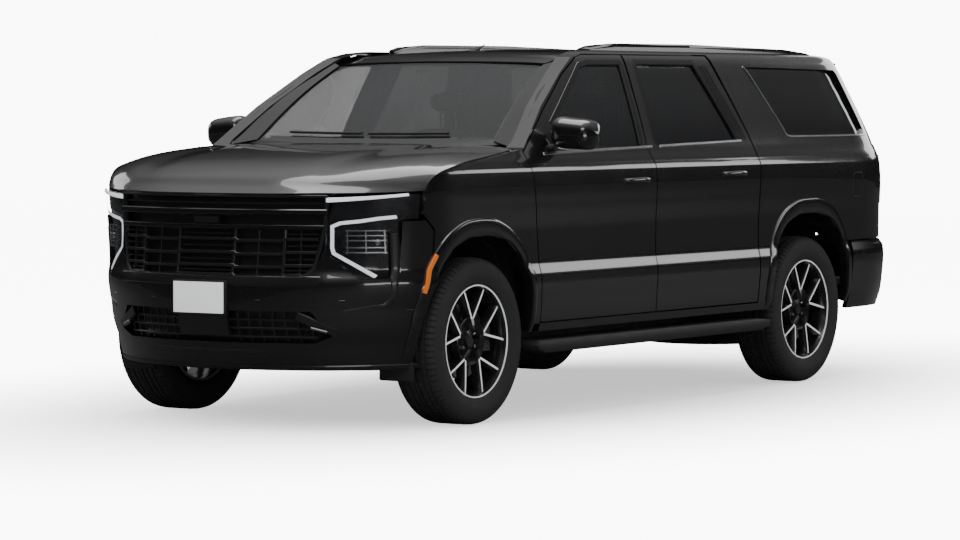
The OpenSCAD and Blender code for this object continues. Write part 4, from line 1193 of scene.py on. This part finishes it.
# painted reflection and painted glow: glossy rays see the floor painted near black (.02), and the camera sees it glow,
# more the further from the car, so it stays darker near the car as painted shade
painted_dark_reflection, seen = ft.nodes.new("ShaderNodeMix"), ft.nodes.new("ShaderNodeLightPath")
painted_dark_reflection.data_type = "RGBA"
ft.links.new(seen.outputs["Is Glossy Ray"], painted_dark_reflection.inputs[0])
ft.links.new(fs.inputs["Base Color"].links[0].from_socket, painted_dark_reflection.inputs[6])
painted_dark_reflection.inputs[7].default_value = (.02, .02, .02, 1)
ft.links.new(painted_dark_reflection.outputs[2], fs.inputs["Base Color"])
# painted glow: emission seen by camera rays only, growing with distance from the car
spread, squash, far, painted_glow, lit = [ft.nodes.new("ShaderNode" + k) for k in (
    "TexCoord", "VectorMath", "MapRange", "Math", "VectorMath")]
squash.operation, lit.operation, painted_glow.operation = "MULTIPLY", "LENGTH", "MULTIPLY"
squash.inputs[1].default_value = (.22, .4, 0)
ft.links.new(spread.outputs["Object"], squash.inputs[0])
ft.links.new(squash.outputs[0], lit.inputs[0])
ft.links.new(lit.outputs["Value"], far.inputs["Value"])
far.interpolation_type = "SMOOTHSTEP"
far.inputs["From Min"].default_value, far.inputs["From Max"].default_value = .4, 1.5
far.inputs["To Min"].default_value, far.inputs["To Max"].default_value = .8, 9.0
ft.links.new(far.outputs["Result"], painted_glow.inputs[0])
ft.links.new(seen.outputs["Is Camera Ray"], painted_glow.inputs[1])
ft.links.new(painted_glow.outputs[0], fs.inputs["Emission Strength"])
fs.inputs["Emission Color"].default_value = (1, 1, 1, 1)
floor.data.materials.append(floor_mat)


def soft_light(name, place, target, size, power):
    data = bpy.data.lights.new(name, "AREA")
    data.shape = "RECTANGLE"
    data.size, data.size_y = size
    data.energy = power
    lamp = bpy.data.objects.new(name, data)
    lamp.location = place
    lamp.rotation_euler = (Vector(target) - Vector(place)).to_track_quat("-Z", "Y").to_euler()
    bpy.context.scene.collection.objects.link(lamp)


soft_light("overhead", (0, 0, 7), (0, 0, 0), (9, 4), 350)
soft_light("front_left", (9, 6, 5), (1, 0, 1), (5, 3), 170)
soft_light("shoulder", (-9, 8.4, 3.5), (0, .9, 1.3), (7, 2.6), 150)
soft_light("left_low", (6, 9, .9), (.5, 0, .6), (6, .7), 60)
soft_light("right_side", (0, -11, 4), (0, 0, 1), (9, 3), 110)
soft_light("rear", (-11, 0, 4), (-2, 0, 1), (5, 3), 110)

world = bpy.data.worlds.new("studio")
bpy.context.scene.world = world
world.use_nodes = True
wn, wl = world.node_tree.nodes, world.node_tree.links.new
back = wn["Background"]
# white to the camera, and a dark-to-pale climb for what the paint reflects
way, tone, rays, sky, split, power = [wn.new("ShaderNode" + k) for k in (
    "TexCoord", "ValToRGB", "LightPath", "Mix", "SeparateXYZ", "Math")]
wl(way.outputs["Generated"], split.inputs[0])
wl(split.outputs["Z"], tone.inputs["Fac"])
steps_up = tone.color_ramp.elements
steps_up[0].position, steps_up[0].color = 0.0, (.012, .012, .012, 1)
steps_up[1].position, steps_up[1].color = 1.0, (1, 1, 1, 1)
for at, v in ((.12, .012), (.3, .06), (.55, .3)):
    steps_up.new(at).color = (v, v, v * 1.02, 1)
sky.data_type = "RGBA"
wl(rays.outputs["Is Glossy Ray"], sky.inputs[0])
sky.inputs[6].default_value = (1, 1, 1, 1)
wl(tone.outputs["Color"], sky.inputs[7])
wl(sky.outputs[2], back.inputs["Color"])
power.operation = "MULTIPLY_ADD"
wl(rays.outputs["Is Camera Ray"], power.inputs[0])
power.inputs[1].default_value, power.inputs[2].default_value = 9.0, 1.0
wl(power.outputs[0], back.inputs["Strength"])

CAM_AT, CAM_YAW, CAM_PITCH = (17.4075, 11.199, 1.626), math.radians(213.325), math.radians(-2.633)
CAM_LENS = 140.85
cam_data = bpy.data.cameras.new("camera")
cam_data.lens, cam_data.sensor_width = CAM_LENS, 36
cam_data.clip_end = 200
camera = bpy.data.objects.new("camera", cam_data)
level = math.cos(CAM_PITCH)
look = Vector((math.cos(CAM_YAW) * level, math.sin(CAM_YAW) * level, math.sin(CAM_PITCH)))
camera.location = CAM_AT
camera.rotation_euler = look.to_track_quat("-Z", "Y").to_euler()
bpy.context.scene.collection.objects.link(camera)
bpy.context.scene.camera = camera
